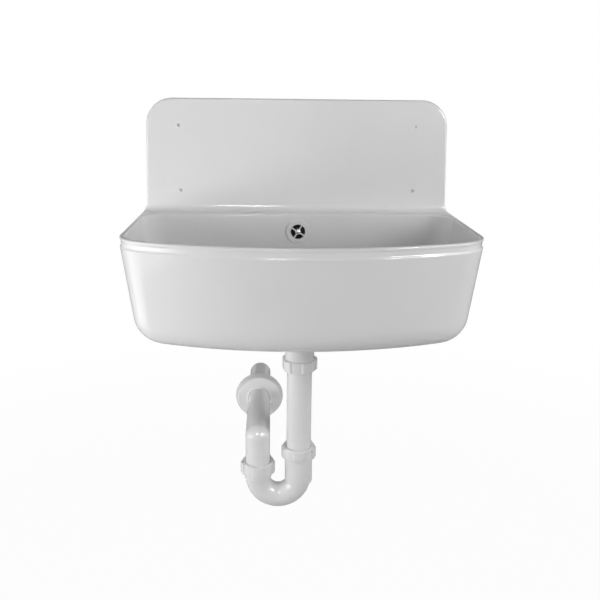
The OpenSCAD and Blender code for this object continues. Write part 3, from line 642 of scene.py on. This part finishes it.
right_half = splash_outline()
whole = right_half + [(-x, z) for x, z in reversed(right_half)]
plate_rings = [(BACK_EDGE, 0), (0, -BACK_EDGE)]
plate_rings += bow((PLATE_EDGE_R, PLATE_EDGE_R - WALL), (-PLATE_EDGE_R, -PLATE_EDGE_R), quarter)
plate = loft("plate", [[(x, y, z) for x, z in inset(whole, depth)] for depth, y in plate_rings])
join(basin, plate)
print("with plate", len(basin.data.polygons), "faces")

# %% Cove at the foot
COVE_REACH, COVE_END = 4, 14
LEAST_COVE = 0.04
cove_half = splash_x(RIM_Z) + COVE_REACH


def cove_section(x):
    """Section of the cove at a place along the foot, smaller towards its ends."""
    into = max(0, (abs(x) - (cove_half - COVE_END)) / COVE_END)
    radius = COVE_R * sqrt(max(LEAST_COVE**2, 1 - into * into))
    arch = bow((-(WALL + radius), RIM_Z + radius), (radius, -radius), range(0, 91, 5))
    return [(x, -1, RIM_Z + radius)] + [(x, y, z) for y, z in arch] + [
        (x, -(WALL + radius), RIM_Z - 1),
        (x, -1, RIM_Z - 1),
    ]


end_xs = [cove_half - COVE_END * (1 - sin(radians(a))) for a in range(0, 91, 9)]
cove_xs = [-x for x in reversed(end_xs)] + end_xs
cove = loft("cove", [cove_section(x) for x in cove_xs])
join(basin, cove)
print("with cove", len(basin.data.polygons), "faces")

# %% [markdown]
# ## Seats, pockets and holes of the bowl
# The rest is what the mould's cores leave: a boss with a recess for the strainer, the waste hole,
# the overflow hole with a flat spot behind it, a pocket under the ledge that keeps the plastic at
# one thickness, and the four holes that carry the sink. The overflow sits on the leaning rear
# wall, so its frame leans with it. The fixing holes keep a thin skin at the wall: they look grey
# in the photograph, and a hole right through would show the white backdrop.

# %% Frames of the waste and the overflow
OVERFLOW_Z = RIM_Z - 29
rear_top, rear_low = mouth[-1][0], inner[0][0]
rear_slope = (rear_top[1] - rear_low[1]) / (rear_top[2] - rear_low[2])
OVERFLOW_Y = rear_top[1] - (rear_top[2] - OVERFLOW_Z) * rear_slope
LEAN = degrees(atan(rear_slope))
at_overflow = at(0, OVERFLOW_Y, OVERFLOW_Z, -90 - LEAN)
at_waste = at(0, WASTE_Y, 0)
print("overflow", round(OVERFLOW_Y, 2), OVERFLOW_Z, "lean", round(LEAN, 2))

# %% Cuts in the bowl
HOLE_R, SPOT_R = 29.3 / 2, 22
BOSS_R, WASTE_HOLE_R = 37.5, 27
RECESS_R, RECESS_TOP_R = 35.6, 36.2
POCKET_SIDE, POCKET_FRONT, POCKET_REAR = 8, 42, 4
HOLE_SKIN, HOLE_EDGE = 0.4, 0.5

boss = rod("boss", BOSS_R, BOSS_Z, UNDER_Z - FLOOR_FALL + 1, at_waste, edge=1.0)
join(basin, boss)
pocket = block(
    "pocket",
    (POCKET_SIDE - WIDTH / 2, -POCKET_FRONT, BAND_Z - 1),
    (WIDTH / 2 - POCKET_SIDE, -POCKET_REAR, RIM_Z - WALL),
)
recess = [
    (0, BOSS_Z - 1), (WASTE_HOLE_R, BOSS_Z - 1),
    (WASTE_HOLE_R, RECESS_Z), (RECESS_R, RECESS_Z),
    (RECESS_R, SEAT_Z), (RECESS_TOP_R, SEAT_Z + 0.5),
    (RECESS_TOP_R, SEAT_Z + 6), (0, SEAT_Z + 6),
]
fixing_hole = [
    (0, HOLE_SKIN), (HOLE_D / 2, HOLE_SKIN),
    (HOLE_D / 2, 3.6), (HOLE_D / 2 + HOLE_EDGE, 3.6 + HOLE_EDGE),
    (HOLE_D / 2 + HOLE_EDGE, 6), (0, 6),
]
holes = [
    turned("hole", fixing_hole, at(x, 0, z, 90), 48)
    for x in (-HOLES_X / 2, HOLES_X / 2)
    for z in (-HOLES_Z / 2, HOLES_Z / 2)
]
cut(
    basin,
    pocket,
    turned("recess", recess, at_waste),
    rod("mouth", HOLE_R, -8, 8, at_overflow),
    rod("spot", SPOT_R, WALL, 32, at_overflow),
    *holes,
)
finished(basin, "basin", "basin_plastic")

# %% [markdown]
# ## Trees: lugs, bent pipes and copies round an axis
# Three Geometry Nodes trees serve every fitting. The first raises grip lugs on a turned nut: it
# measures how far a point lies from the nearest lug's middle, and moves it outwards there. The
# second bends a pipe at the corners of a plain line. The third sets copies of one shape round an
# axis, for spokes, ribs and holes. Each has named inputs, so one tree makes many pieces.


# %% Helpers for trees
def new_tree(name, inputs):
    """A tree with a geometry input and the named inputs after it."""
    tree = bpy.data.node_groups.new(name, "GeometryNodeTree")
    tree.interface.new_socket("Geometry", in_out="OUTPUT", socket_type="NodeSocketGeometry")
    tree.interface.new_socket("Geometry", in_out="INPUT", socket_type="NodeSocketGeometry")
    for label, kind in inputs.items():
        tree.interface.new_socket(label, in_out="INPUT", socket_type="NodeSocket" + kind)
    return tree, tree.nodes.new("NodeGroupInput").outputs


def end_tree(tree, geometry, material):
    """Ends a tree in Realize Instances and Set Material."""
    real = wire(tree, "GeometryNodeRealizeInstances", {"Geometry": geometry})
    dressed = wire(tree, "GeometryNodeSetMaterial", {"Geometry": real, "Material": material})
    add(tree, "NodeGroupOutput", {"Geometry": dressed})


def grown(piece, tree, **values):
    """Runs a tree on a piece with its inputs set by identifier, and keeps the plain mesh."""
    step = piece.modifiers.new("tree", "NODES")
    step.node_group = tree
    for item in tree.interface.items_tree:
        key = item.name.lower().replace(" ", "_")
        if item.in_out == "INPUT" and key in values:
            step[item.identifier] = values[key]
    return baked(piece)


print("tree helpers ready")

# %% Tree: lugs raised on a nut
lug_sizes = ("Lug width", "Proud", "Flank", "First lug", "Nut radius", "Edge")
lug_tree, given = new_tree(
    "lugs raised on a nut",
    {"Lugs": "Int", **{label: "Float" for label in lug_sizes}, "Finish": "Material"},
)
lug = partial(maths, lug_tree)
where = wire(lug_tree, "GeometryNodeInputPosition")
parts = add(lug_tree, "ShaderNodeSeparateXYZ", {0: where}).outputs
flat_place = wire(lug_tree, "ShaderNodeCombineXYZ", {0: parts[0], 1: parts[1]})
radius_here = add(lug_tree, "ShaderNodeVectorMath", {0: flat_place}, operation="LENGTH").outputs[1]
direction = wire(lug_tree, "ShaderNodeVectorMath", {0: flat_place}, operation="NORMALIZE")
turn_here = lug("SUBTRACT", lug("ARCTAN2", parts[1], parts[0]), given["First lug"])
pitches = lug("ADD", lug("DIVIDE", lug("MULTIPLY", turn_here, given["Lugs"]), 2 * pi), 0.5)
from_middle = lug("ABSOLUTE", lug("SUBTRACT", lug("FLOORED_MODULO", pitches, 1.0), 0.5))
pitch = lug("DIVIDE", lug("MULTIPLY", given["Nut radius"], 2 * pi), given["Lugs"])
along = lug("MULTIPLY", from_middle, pitch)
half_lug = lug("DIVIDE", given["Lug width"], 2.0)
half_flank = lug("DIVIDE", given["Flank"], 2.0)
flank_start = lug("SUBTRACT", half_lug, half_flank)
flank_end = lug("ADD", half_lug, half_flank)
lift = fade(lug_tree, along, flank_start, flank_end, given["Proud"], 0.0)
outside = lug("GREATER_THAN", radius_here, lug("SUBTRACT", given["Nut radius"], given["Edge"]))
stretch = {0: direction, "Scale": lug("MULTIPLY", lift, outside)}
shift = wire(lug_tree, "ShaderNodeVectorMath", stretch, operation="SCALE")
raised = wire(lug_tree, "GeometryNodeSetPosition", {"Geometry": given["Geometry"], "Offset": shift})
end_tree(lug_tree, raised, given["Finish"])
print(lug_tree.name, len(lug_tree.nodes), "nodes")

# %% Tree: pipe bent at corners
pipe_tree, given = new_tree(
    "pipe bent at corners",
    {"Diameter": "Float", "Bend radius": "Float", "Steps in a bend": "Int", "Finish": "Material"},
)
path = wire(pipe_tree, "GeometryNodeMeshToCurve", {"Mesh": given["Geometry"]})
bent = wire(
    pipe_tree,
    "GeometryNodeFilletCurve",
    {"Curve": path, "Count": given["Steps in a bend"], "Radius": given["Bend radius"]},
    mode="POLY",
)
section = wire(
    pipe_tree,
    "GeometryNodeCurvePrimitiveCircle",
    {"Resolution": 96, "Radius": maths(pipe_tree, "DIVIDE", given["Diameter"], 2.0)},
)
swept = wire(
    pipe_tree,
    "GeometryNodeCurveToMesh",
    {"Curve": bent, "Profile Curve": section, "Fill Caps": True},
)
end_tree(pipe_tree, swept, given["Finish"])
print(pipe_tree.name, len(pipe_tree.nodes), "nodes")

# %% Tree: copies round an axis
ring_tree, given = new_tree(
    "copies round an axis",
    {"Copies": "Int", "Ring radius": "Float", "First turn": "Float", "Finish": "Material"},
)
ring = partial(maths, ring_tree)
spots = wire(
    ring_tree, "GeometryNodeMeshLine", {"Count": given["Copies"], "Offset": (0.0, 0.0, 0.0)}
)
step_turn = ring("DIVIDE", 2 * pi, given["Copies"])
number = wire(ring_tree, "GeometryNodeInputIndex")
turn = ring("ADD", ring("MULTIPLY", number, step_turn), given["First turn"])
ring_x = ring("MULTIPLY", ring("COSINE", turn), given["Ring radius"])
ring_y = ring("MULTIPLY", ring("SINE", turn), given["Ring radius"])
outwards = wire(ring_tree, "ShaderNodeCombineXYZ", {0: ring_x, 1: ring_y})
spread = wire(ring_tree, "GeometryNodeSetPosition", {"Geometry": spots, "Position": outwards})
facing = wire(ring_tree, "ShaderNodeCombineXYZ", {2: turn})
copies = wire(
    ring_tree,
    "GeometryNodeInstanceOnPoints",
    {"Points": spread, "Instance": given["Geometry"], "Rotation": facing},
)
end_tree(ring_tree, copies, given["Finish"])
print(ring_tree.name, len(ring_tree.nodes), "nodes")

# %% [markdown]
# ## Pipes and rings of copies
# A pipe is a line of corners given to the second tree. Copies of a blank are made about the z
# axis and then moved to their place, because the finished piece keeps its object at the origin.


# %% Pipes and copies
def moved(piece, place):
    """Moves a piece's mesh to its place in mm."""
    shifted = place.copy()
    shifted.translation = place.translation * MM
    piece.data.transform(shifted)
    return outward(piece)


def pipe(name, corners, radius, bend_radius):
    """A solid rod along corners in mm, bent by the tree."""
    mesh = bpy.data.meshes.new(name)
    steps = [(i, i + 1) for i in range(len(corners) - 1)]
    mesh.from_pydata([tuple(Vector(c) * MM) for c in corners], steps, [])
    piece = grown(
        linked(name, mesh),
        pipe_tree,
        diameter=2 * radius * MM,
        bend_radius=bend_radius * MM,
        steps_in_a_bend=24,
        finish=finishes["fitting_plastic"],
    )
    return outward(piece)


def round_axis(blank, copies, first_turn, slot, place, ring_radius=0.0):
    """Copies of a blank round the z axis, moved to their place in mm."""
    grown(
        blank,
        ring_tree,
        copies=copies,
        ring_radius=ring_radius * MM,
        first_turn=radians(first_turn),
        finish=finishes[slot],
    )
    return moved(blank, place)


print("pipes and copies ready")

# %% [markdown]
# ## Overflow rose and its screw
# The rose is a flat ring with a rolled edge, four slim spokes and a hub, and a short spigot that
# goes through the bowl's rear wall. Its dark openings are the housing behind it. The screw has a
# low domed head with a single slot.

# %% Overflow rose
SPIGOT, SPIGOT_R, SPIGOT_BORE_R = 6, 14.35, 12.15
ROSE_R, HUB_R, SCREW_HOLE_R = 20, 4.6, 2.1
rose_ring = [
    (SPIGOT_BORE_R, -2), (ROSE_R - 0.8, -2),
    (ROSE_R, -1.3), (ROSE_R, 0),
    (SPIGOT_R, 0), (SPIGOT_R, SPIGOT),
    (SPIGOT_BORE_R, SPIGOT),
]
rose = turned("overflow_rose", rounded(rose_ring, 0.5), at_overflow)
hub = rod("hub", HUB_R, -2, WALL, at_overflow, 64, edge=0.4)
spoke = block("spoke", (2, -1.1, -1.9), (13, 1.1, 0))
join(rose, round_axis(spoke, 4, 32, "fitting_plastic", at_overflow), hub)
cut(rose, rod("bore", SCREW_HOLE_R, -4, 8, at_overflow, 48))
finished(rose, "overflow_grille")

# %% Overflow screw
dome = bow((0, -2.5), (3.5, -1.1), range(0, 90, 15))
screw_profile = [(0, -3.6)] + dome[::-1] + [(3.5, -2), (2, -2), (2, 17.2), (1.2, 18), (0, 18)]
screw = turned("overflow_screw_turned", screw_profile, at_overflow, 64)
slot = block("slot", (-2.1, -0.5, -4.6), (2.1, 0.5, -2.8))
cut(screw, round_axis(slot, 2, 45, "stainless_steel", at_overflow))
finished(screw, "overflow_screw", "stainless_steel")

# %% [markdown]
# ## Overflow housing, pipe and small nuts
# Behind the bowl a cup gathers the overflow and points down. A rigid 20 mm pipe takes the water
# round one bend to the port of the waste. Both ends are slip joints with a small ribbed nut. The
# ribs are the lug tree again, with six narrow lugs.

# %% Overflow housing
SOCKET_R, CUP_R, SMALL_SLIP_R = 13, 16.65, 10.1
HOUSING_Y = OVERFLOW_Y + SPIGOT + SOCKET_R
OUTLET_Z = OVERFLOW_Z - 32
at_outlet = at(0, HOUSING_Y, 0)
cup_profile = [
    (0, SPIGOT), (ROSE_R, SPIGOT),
    (ROSE_R, SPIGOT + 3), (CUP_R, SPIGOT + 3),
    (CUP_R, SPIGOT + 28), (0, SPIGOT + 28),
]
housing = turned("overflow_housing_moulding", rounded(cup_profile, 0.9), at_overflow)
join(housing, rod("socket", SOCKET_R, OUTLET_Z, OVERFLOW_Z, at_outlet, edge=0.5))
cut(
    housing,
    rod("cup bore", SPIGOT_BORE_R, SPIGOT - 1, SPIGOT + 25, at_overflow),
    rod("outlet bore", 8.5, OUTLET_Z - 1, OVERFLOW_Z, at_outlet),
    rod("pipe bore", SMALL_SLIP_R, OUTLET_Z - 1, OUTLET_Z + 16, at_outlet),
)
join(housing, rod("screw boss", HUB_R, SPIGOT + 3, SPIGOT + 27, at_overflow, 64))
cut(housing, rod("screw hole", SCREW_HOLE_R, -2, 20, at_overflow, 48))
finished(housing, "overflow_housing", "housing_plastic")

# %% Overflow pipe
SMALL_PIPE_R, SMALL_BORE_R, SMALL_BEND_R = 10, 8.5, 30
PORT_Z = BOSS_Z - 16
PORT_Y = WASTE_Y + 31 + 22


def small_path(short):
    """Corners of the overflow pipe's middle line, shorter at both ends by a length."""
    return [
        (0, HOUSING_Y, OUTLET_Z + 16 - short),
        (0, HOUSING_Y, PORT_Z),
        (0, PORT_Y - 16 + short, PORT_Z),
    ]


overflow_pipe = pipe("overflow_pipe_bent", small_path(1), SMALL_PIPE_R, SMALL_BEND_R)
cut(overflow_pipe, pipe("bore", small_path(0), SMALL_BORE_R, SMALL_BEND_R))
finished(overflow_pipe, "overflow_pipe")


# %% Nuts
NUT_EDGE, NUT_LIP = 1.7, 5.5
SMALL_NUT_R, SMALL_THREAD_R = 16, 13.1


def nut(name, profile, place, radius, lugs, lug_width, proud, first_lug, flank=0.9):
    """A turned nut with lugs raised by the tree, moved to its place in mm."""
    piece = turned(name, profile, steps=360)
    grown(
        piece,
        lug_tree,
        lugs=lugs,
        lug_width=lug_width * MM,
        proud=proud * MM,
        flank=flank * MM,
        first_lug=radians(first_lug),
        nut_radius=radius * MM,
        edge=NUT_EDGE * MM,
        finish=finishes["fitting_plastic"],
    )
    return moved(piece, place)


def small_nut(name, place, node):
    """Ribbed nut of the overflow pipe, with its lip at z = 0."""
    profile = [
        (10.3, 0), (SMALL_NUT_R, 0),
        (SMALL_NUT_R, 13), (SMALL_THREAD_R, 13),
        (SMALL_THREAD_R, 2.5), (10.3, 2.5),
    ]
    piece = nut(name, rounded(profile, 1.0), place, SMALL_NUT_R, 6, 4, 1, 0)
    return finished(piece, node)


small_nut("housing_nut_ribbed", at(0, HOUSING_Y, OUTLET_Z - NUT_LIP), "housing_nut")
at_port = at(0, PORT_Y, PORT_Z, 90)
small_nut("port_nut_ribbed", at_port @ at(0, 0, -NUT_LIP), "port_nut")

# %% [markdown]
# ## Strainer and its screw
# The strainer is pressed from 1.2 mm stainless sheet: a flat rim, a shallow dish and three rows
# of holes that grow outwards. The rows are the copies tree with a small blank. One long slotted
# screw clamps strainer, bowl and waste body together.

# %% Strainer
STRAINER_Z = RECESS_Z + 1.2
DISH_R, STRAINER_R = 22, 35
FINE = 144
at_strainer = at(0, WASTE_Y, STRAINER_Z)
pressed = [
    (3.1, -3), (DISH_R, -3),
    (DISH_R, 0), (STRAINER_R, 0),
    (STRAINER_R, 1.2), (DISH_R - 1.2, 1.2),
    (DISH_R - 1.2, -1.8), (3.1, -1.8),
]
strainer = turned("strainer_pressed", rounded(pressed, 0.9, 5), at_strainer, FINE)
for count, share in ((8, 0.42), (12, 0.6), (16, 0.8)):
    blank = rod("hole", 2.5 * share, -5, 3, steps=24)
    row = round_axis(blank, count, 360 / count, "stainless_steel", at_strainer, share * DISH_R)
    cut(strainer, row)
finished(strainer, "waste_strainer", "stainless_steel")

# %% Strainer screw
HEAD_R = 8
HEAD_Z = STRAINER_Z - 1.8
TIP_Z = BOSS_Z - 20
head = [
    (0, TIP_Z), (2, TIP_Z),
    (3, TIP_Z + 1), (3, HEAD_Z),
    (HEAD_R, HEAD_Z), (HEAD_R, HEAD_Z + 1.1),
]
head += bow((0, HEAD_Z + 1.1), (HEAD_R, 0.9), range(15, 90, 15))
strainer_screw = turned("strainer_screw", head + [(0, HEAD_Z + 2)], at_waste, 72)
slot = block("slot", (-6.4, WASTE_Y - 0.8, HEAD_Z + 1), (6.4, WASTE_Y + 0.8, HEAD_Z + 4))
cut(strainer_screw, slot)
finished(strainer_screw, "waste_screw", "stainless_steel")

# %% [markdown]
# ## Waste body
# Under the boss hangs the waste body: a flange, a wide cup with the overflow's port, a cone and a
# neck that ends in the thread of the union. It is one moulding, open from top to bottom, with a
# cross inside that holds the brass insert of the screw.

# %% Waste body
PIPE_R, PIPE_BORE_R = 20, 18
THREAD_R, NECK_R = 23.9, 23
BODY_R, BODY_BORE_R, FLANGE_R = 31, 28, 38
FLANGE_Z = BOSS_Z - 2
CUP_Z = FLANGE_Z - 3
CONE_Z = CUP_Z - 22
NECK_Z = CONE_Z - 5
THREAD_Z = NECK_Z - 16.5
END_Z = THREAD_Z - 9
body_profile = [
    (PIPE_R, END_Z), (THREAD_R, END_Z),
    (THREAD_R, THREAD_Z), (NECK_R, THREAD_Z),
    (NECK_R, NECK_Z), (BODY_R, CONE_Z),
    (BODY_R, CUP_Z), (FLANGE_R, CUP_Z),
    (FLANGE_R, FLANGE_Z), (BODY_BORE_R, FLANGE_Z),
    (BODY_BORE_R, CONE_Z), (PIPE_R, NECK_Z),
]
body_inside = [
    (0, NECK_Z - 5), (PIPE_R, NECK_Z - 5),
    (PIPE_R, NECK_Z), (BODY_BORE_R, CONE_Z),
    (BODY_BORE_R, FLANGE_Z + 1), (0, FLANGE_Z + 1),
]
waste = turned("waste_body_moulding", rounded(body_profile, 1.2), at_waste, FINE)
along_y = at(0, WASTE_Y, PORT_Z, -90)
join(
    waste,
    rod("port", 9.5, 20, 51, along_y),
    rod("port socket", SOCKET_R, 34, 53, along_y, edge=0.6),
)
cut(
    waste,
    turned("inside", body_inside, at_waste, FINE),
    rod("port bore", 8, 0, 54, along_y),
    rod("pipe bore", SMALL_SLIP_R, 37, 54, along_y),
)
CROSS_Z = CUP_Z - 16
at_cross = at(0, WASTE_Y, CROSS_Z)
rib = block("rib", (3, -1.5, 1), (29.5, 1.5, 10))
ribs = round_axis(rib, 3, 30, "fitting_plastic", at_cross)
join(waste, rod("screw boss", 7, 0, 12, at_cross, 64, edge=0.5), ribs)
cut(waste, rod("insert hole", 4.5, -1, 13, at_cross, 64))
finished(waste, "waste_body")

# %% [markdown]
# ## Trap
# The trap is four plastic pieces and three slip nuts. A tailpipe with a collar hangs in the union
# nut. The U-bend has a deep socket for it and a short one for the outlet pipe, each with a
# slightly larger outside than the pipe and a rounded lower edge, which shows as a seam. The
# outlet pipe goes up, round a tight knuckle and back through the wall.

# %% Tailpipe and U-bend
COLLAR_Z = END_Z - 4
TAIL_END_Z = COLLAR_Z - 194
BEND_Z = TAIL_END_Z - 0.5
INLET_Z = TAIL_END_Z + 47
TRAP_OUTLET_Z = BEND_Z + 20.5
LEG = -67
COLLAR_R, SLIP_R, SEAL_SEAT_R = 23.2, 20.3, 22.1
tail_profile = [
    (PIPE_BORE_R, TAIL_END_Z), (PIPE_R, TAIL_END_Z),
    (PIPE_R, COLLAR_Z), (COLLAR_R, COLLAR_Z),
    (COLLAR_R, COLLAR_Z + 2), (PIPE_BORE_R, COLLAR_Z + 2),
]
tail = turned("tail_pipe_moulding", rounded(tail_profile, 0.5), at_waste, FINE)
finished(tail, "tailpipe")


def u_path(over):
    """Corners of the U-bend's middle line, its ends drawn out by a length in mm."""
    low = BEND_Z + LEG / 2
    return [
        (0, WASTE_Y, BEND_Z + over),
        (0, WASTE_Y, low),
        (LEG, WASTE_Y, low),
        (LEG, WASTE_Y, BEND_Z + over),
    ]


def socket(name, radius, low, high, x):
    """Outside of a socket: a sleeve with its thread under the mouth."""
    profile = [
        (0, low), (radius, low),
        (radius, high - 11), (THREAD_R, high - 11),
        (THREAD_R, high), (0, high),
    ]
    return turned(name, rounded(profile, 1.3), at(x, WASTE_Y, 0), FINE)


def seat(name, low, high, x):
    """Inside of a socket: the pipe's bore and the cone that the seal enters."""
    profile = [
        (0, low), (SLIP_R, low),
        (SLIP_R, high - 6.2), (SLIP_R + 0.3, high - 6.2),
        (SEAL_SEAT_R, high), (SEAL_SEAT_R, high + 1),
        (0, high + 1),
    ]
    return turned(name, profile, at(x, WASTE_Y, 0), FINE)


u_bend = pipe("u_bend_moulding", u_path(0), PIPE_R, -LEG / 2)
join(
    u_bend,
    socket("inlet socket", 22.5, BEND_Z - 8, INLET_Z, 0),
    socket("outlet socket", 22, BEND_Z - 1, TRAP_OUTLET_Z, LEG),
)
cut(
    u_bend,
    pipe("bore", u_path(0.01), PIPE_BORE_R, -LEG / 2),
    seat("inlet seat", BEND_Z, INLET_Z, 0),
    seat("outlet seat", BEND_Z, TRAP_OUTLET_Z, LEG),
)
finished(u_bend, "u_bend", body="u_bend")

# %% Outlet pipe
AXIS_Z = TRAP_OUTLET_Z + 52
STUB = 120
BALL_SWELL = 0.15
at_leg = at(LEG, WASTE_Y, 0)
at_run = at(LEG, 0, AXIS_Z, -90)


def knuckle(name, radius, over):
    """The outlet pipe as a solid rod: up, round a ball and back, its ends drawn out."""
    ball = [(0, -radius)] + bow((0, 0), (radius, radius), range(-87, 88, 3)) + [(0, radius)]
    made = turned(name, ball, at(LEG, WASTE_Y, AXIS_Z))
    up = rod("up", radius - BALL_SWELL, TAIL_END_Z - over, AXIS_Z, at_leg)
    back = rod("back", radius - BALL_SWELL, WASTE_Y, STUB + over, at_run)
    return join(made, up, back)


outlet = knuckle("outlet_pipe_moulding", PIPE_R + BALL_SWELL, 0)
groove = [(19.7, 0), (21, 0), (21, 1), (19.7, 1)]
cut(
    outlet,
    knuckle("bore", PIPE_BORE_R + BALL_SWELL, 1),
    turned("insertion mark", groove, at_run, 96),
)
finished(outlet, "outlet_elbow", body="outlet_elbow")

# %% [markdown]
# ## Slip nuts and rosette
# The three nuts are one pattern with five broad lugs, set at the turn that the photograph shows.
# The upper one has its mouth up, the two on the U-bend hang mouth down. The rosette slides on the
# outlet pipe and covers the hole in the wall: a low drum with a sloping rim and a short collar.

# %% Slip nuts
NUT_R, NUT_H, NUT_BORE_R = 26.3, 18, 24
LUG_W, LUG_PROUD, LUG_FLANK = 15.5, 2, 2.4
nut_section = [
    (SLIP_R, 0), (NUT_R, 0),
    (NUT_R, NUT_H), (NUT_BORE_R, NUT_H),
    (NUT_BORE_R, 4), (SLIP_R, 4),
]
nut_profile = rounded(nut_section, 1.4, 5)
flipped = at(0, 0, 8, 180)
places = {
    "union_nut": (at(0, WASTE_Y, COLLAR_Z - NUT_LIP), 6.5),
    "inlet_nut": (at(0, WASTE_Y, INLET_Z) @ flipped, -266),
    "outlet_nut": (at(LEG, WASTE_Y, TRAP_OUTLET_Z) @ flipped, -270),
}
for name, (place, first_lug) in places.items():
    piece = nut(
        name + "_lugged", nut_profile, place, NUT_R, 5, LUG_W, LUG_PROUD, first_lug, LUG_FLANK
    )
    finished(piece, name, body=name)

# %% Rosette
rosette_profile = [
    (41.5, 0), (43.5, 0),
    (43.5, 3), (39.5, 15),
    (23.3, 17.6), (22.3, 20),
    (SLIP_R, 20), (SLIP_R, 10),
    (22.3, 10), (23.3, 15.6),
    (37.5, 13), (41.5, 2.9),
]
at_wall = at(LEG, 0, AXIS_Z, 90)
rosette = turned("rosette_moulding", rounded(rosette_profile, 2, 6), at_wall, FINE)
finished(rosette, "wall_rosette", body="wall_rosette")

# %% [markdown]
# ## Rings that keep their CAD shape
# Gaskets, seals, glide rings and the brass insert are plain rings, and the CAD already has them
# right. They keep their meshes and only take a finish.

# %% Finishes of the rings
KEPT_SLOTS = ("seal_rubber", "ring_plastic", "insert_brass")
slots_of = {part["node"]: part["material_slot"] for part in frame["record"]["subparts"]}
for name, node in nodes.items():
    if slots_of[name] in KEPT_SLOTS:
        finish = finishes[slots_of[name]]
        node.data.materials.clear()
        node.data.materials.append(finish)
        print(name, finish.name)

# %% [markdown]
# ## Floor, backdrop and light
# The sink hangs in front of a white backdrop, over a pale floor far below it. Both show white to
# the camera. The floor keeps a little of its own light and shadow under the object and fades to
# plain white further out, so that no horizon shows. In gloss the backdrop is white too, but only
# where it stands, behind the sink. The rest of the studio is dim there, as in the photograph,
# where every edge that turns away from the camera has a thin dark line.


# %% Floor and world
def end_in_white(tree, straight, gloss, other, white, output):
    """Ends a tree in white, by one share for camera rays and one for gloss and glass."""
    ray = add(tree, "ShaderNodeLightPath").outputs
    mirrored = maths(tree, "MAXIMUM", ray["Is Glossy Ray"], ray["Is Transmission Ray"])
    straight_share = maths(tree, "MULTIPLY", ray["Is Camera Ray"], straight)
    gloss_share = maths(tree, "MULTIPLY", mirrored, gloss)
    share = maths(tree, "ADD", straight_share, gloss_share)
    mixed = wire(tree, "ShaderNodeMixShader", {0: share, 1: other, 2: white})
    add(tree, output, {"Surface": mixed})


FLOOR_LEVEL = -940
NEAR, FAR = 1.1, 2.4
WHITE = linear("#FFFFFF")
floor_material, floor_tree = new_material("studio_floor_matte_paint")
glow = wire(floor_tree, "ShaderNodeEmission", {"Color": WHITE, "Strength": 1.0})
paint = wire(floor_tree, "ShaderNodeBsdfDiffuse", {"Color": linear("#C4C4C4")})
floor_place = add(floor_tree, "ShaderNodeTexCoord").outputs["Object"]
from_sink = add(floor_tree, "ShaderNodeVectorMath", {0: floor_place}, operation="LENGTH").outputs[1]
whiteness = fade(floor_tree, from_sink, NEAR, FAR, 0.97, 1.0)
end_in_white(floor_tree, whiteness, 0.1, paint, glow, "ShaderNodeOutputMaterial")
floor = new_piece(
    "studio_floor",
    [(x, y, FLOOR_LEVEL) for x, y in ((-6e3, -6e3), (6e3, -6e3), (6e3, 9e3), (-6e3, 9e3))],
    [(0, 1, 2, 3)],
)
floor.data.materials.append(floor_material)

BACKDROP = (0, 0.966, -0.26)
BACKDROP_EDGE, BACKDROP_CORE = 30, 22
world = bpy.data.worlds.new("studio")
bpy.context.scene.world = world
world.use_nodes = True
sky_tree = world.node_tree
sky_tree.nodes.clear()
bright = wire(sky_tree, "ShaderNodeBackground", {"Color": WHITE, "Strength": 1.0})
dim = wire(sky_tree, "ShaderNodeBackground", {"Color": WHITE, "Strength": 0.02})
way = add(sky_tree, "ShaderNodeTexCoord").outputs["Generated"]
facing_back = add(
    sky_tree, "ShaderNodeVectorMath", {0: way, 1: BACKDROP}, operation="DOT_PRODUCT"
).outputs["Value"]
edge_cos, core_cos = cos(radians(BACKDROP_EDGE)), cos(radians(BACKDROP_CORE))
backdrop = fade(sky_tree, facing_back, edge_cos, core_cos, 0.2, 1.0)
end_in_white(sky_tree, 1.0, backdrop, dim, bright, "ShaderNodeOutputWorld")
print("floor at", FLOOR_LEVEL, "mm")

# %% [markdown]
# ## Lamps
# Broad soft boxes to the left and right give the even light of the photograph, weaker ones fill
# from above and from low on the left. Two small strips are seen in gloss alone: they draw the
# streaks on the cove and on the bowl's shoulder. The box behind is for views of the back, and
# stays out of the gloss.


# %% Lamps
TARGET = (0, -0.17, -0.2)
DISTANCE = 1.7


def lamp(name, place, size, power):
    """A soft box: a rectangular lamp at a place in metres that faces the sink."""
    light = bpy.data.lights.new(name, "AREA")
    light.shape = "RECTANGLE"
    light.size, light.size_y = size
    light.energy = power
    made = linked(name, light)
    facing = (Vector(TARGET) - Vector(place)).to_track_quat("-Z", "Y").to_matrix().to_4x4()
    made.matrix_world = Matrix.Translation(place) @ facing
    return made


def soft_box(name, turn, height, size, power):
    """A soft box round the sink: its turn from the front and its height, both in degrees."""
    a, e = radians(turn), radians(height)
    way = Vector((sin(a) * cos(e), -cos(a) * cos(e), sin(e)))
    return lamp(name, Vector(TARGET) + DISTANCE * way, size, power)


def strip(name, place, size, power):
    """A small bright strip that is only seen in gloss."""
    made = lamp(name, place, size, power)
    made.visible_diffuse = False
    return made


soft_box("left_box", -63, 1, (1.0, 0.85), 12.3)
soft_box("high_left_box", -48, 32, (1.2, 0.8), 3.3)
soft_box("front_box", -8, 5, (0.7, 0.7), 1)
soft_box("right_box", 60, 18, (1.3, 1.0), 16.5)
soft_box("side_right_box", 74, 4, (1.2, 1.0), 2.8)
soft_box("top_box", 0, 75, (1.0, 1.0), 1.8)
back_box = soft_box("back_box", 170, 20, (1.2, 1.0), 6)
back_box.visible_glossy = False
lamp("low_left_box", (-1.1, -0.9, -0.3), (0.7, 0.7), 2.8)
lamp("low_side_box", (-1.3, -0.2, -0.5), (0.7, 0.7), 2.6)
strip("right_strip", (0.62, -0.8, 0.195), (0.34, 0.05), 6.2)
strip("front_strip", (-0.12, -1.0, 0.26), (0.18, 0.06), 3.2)
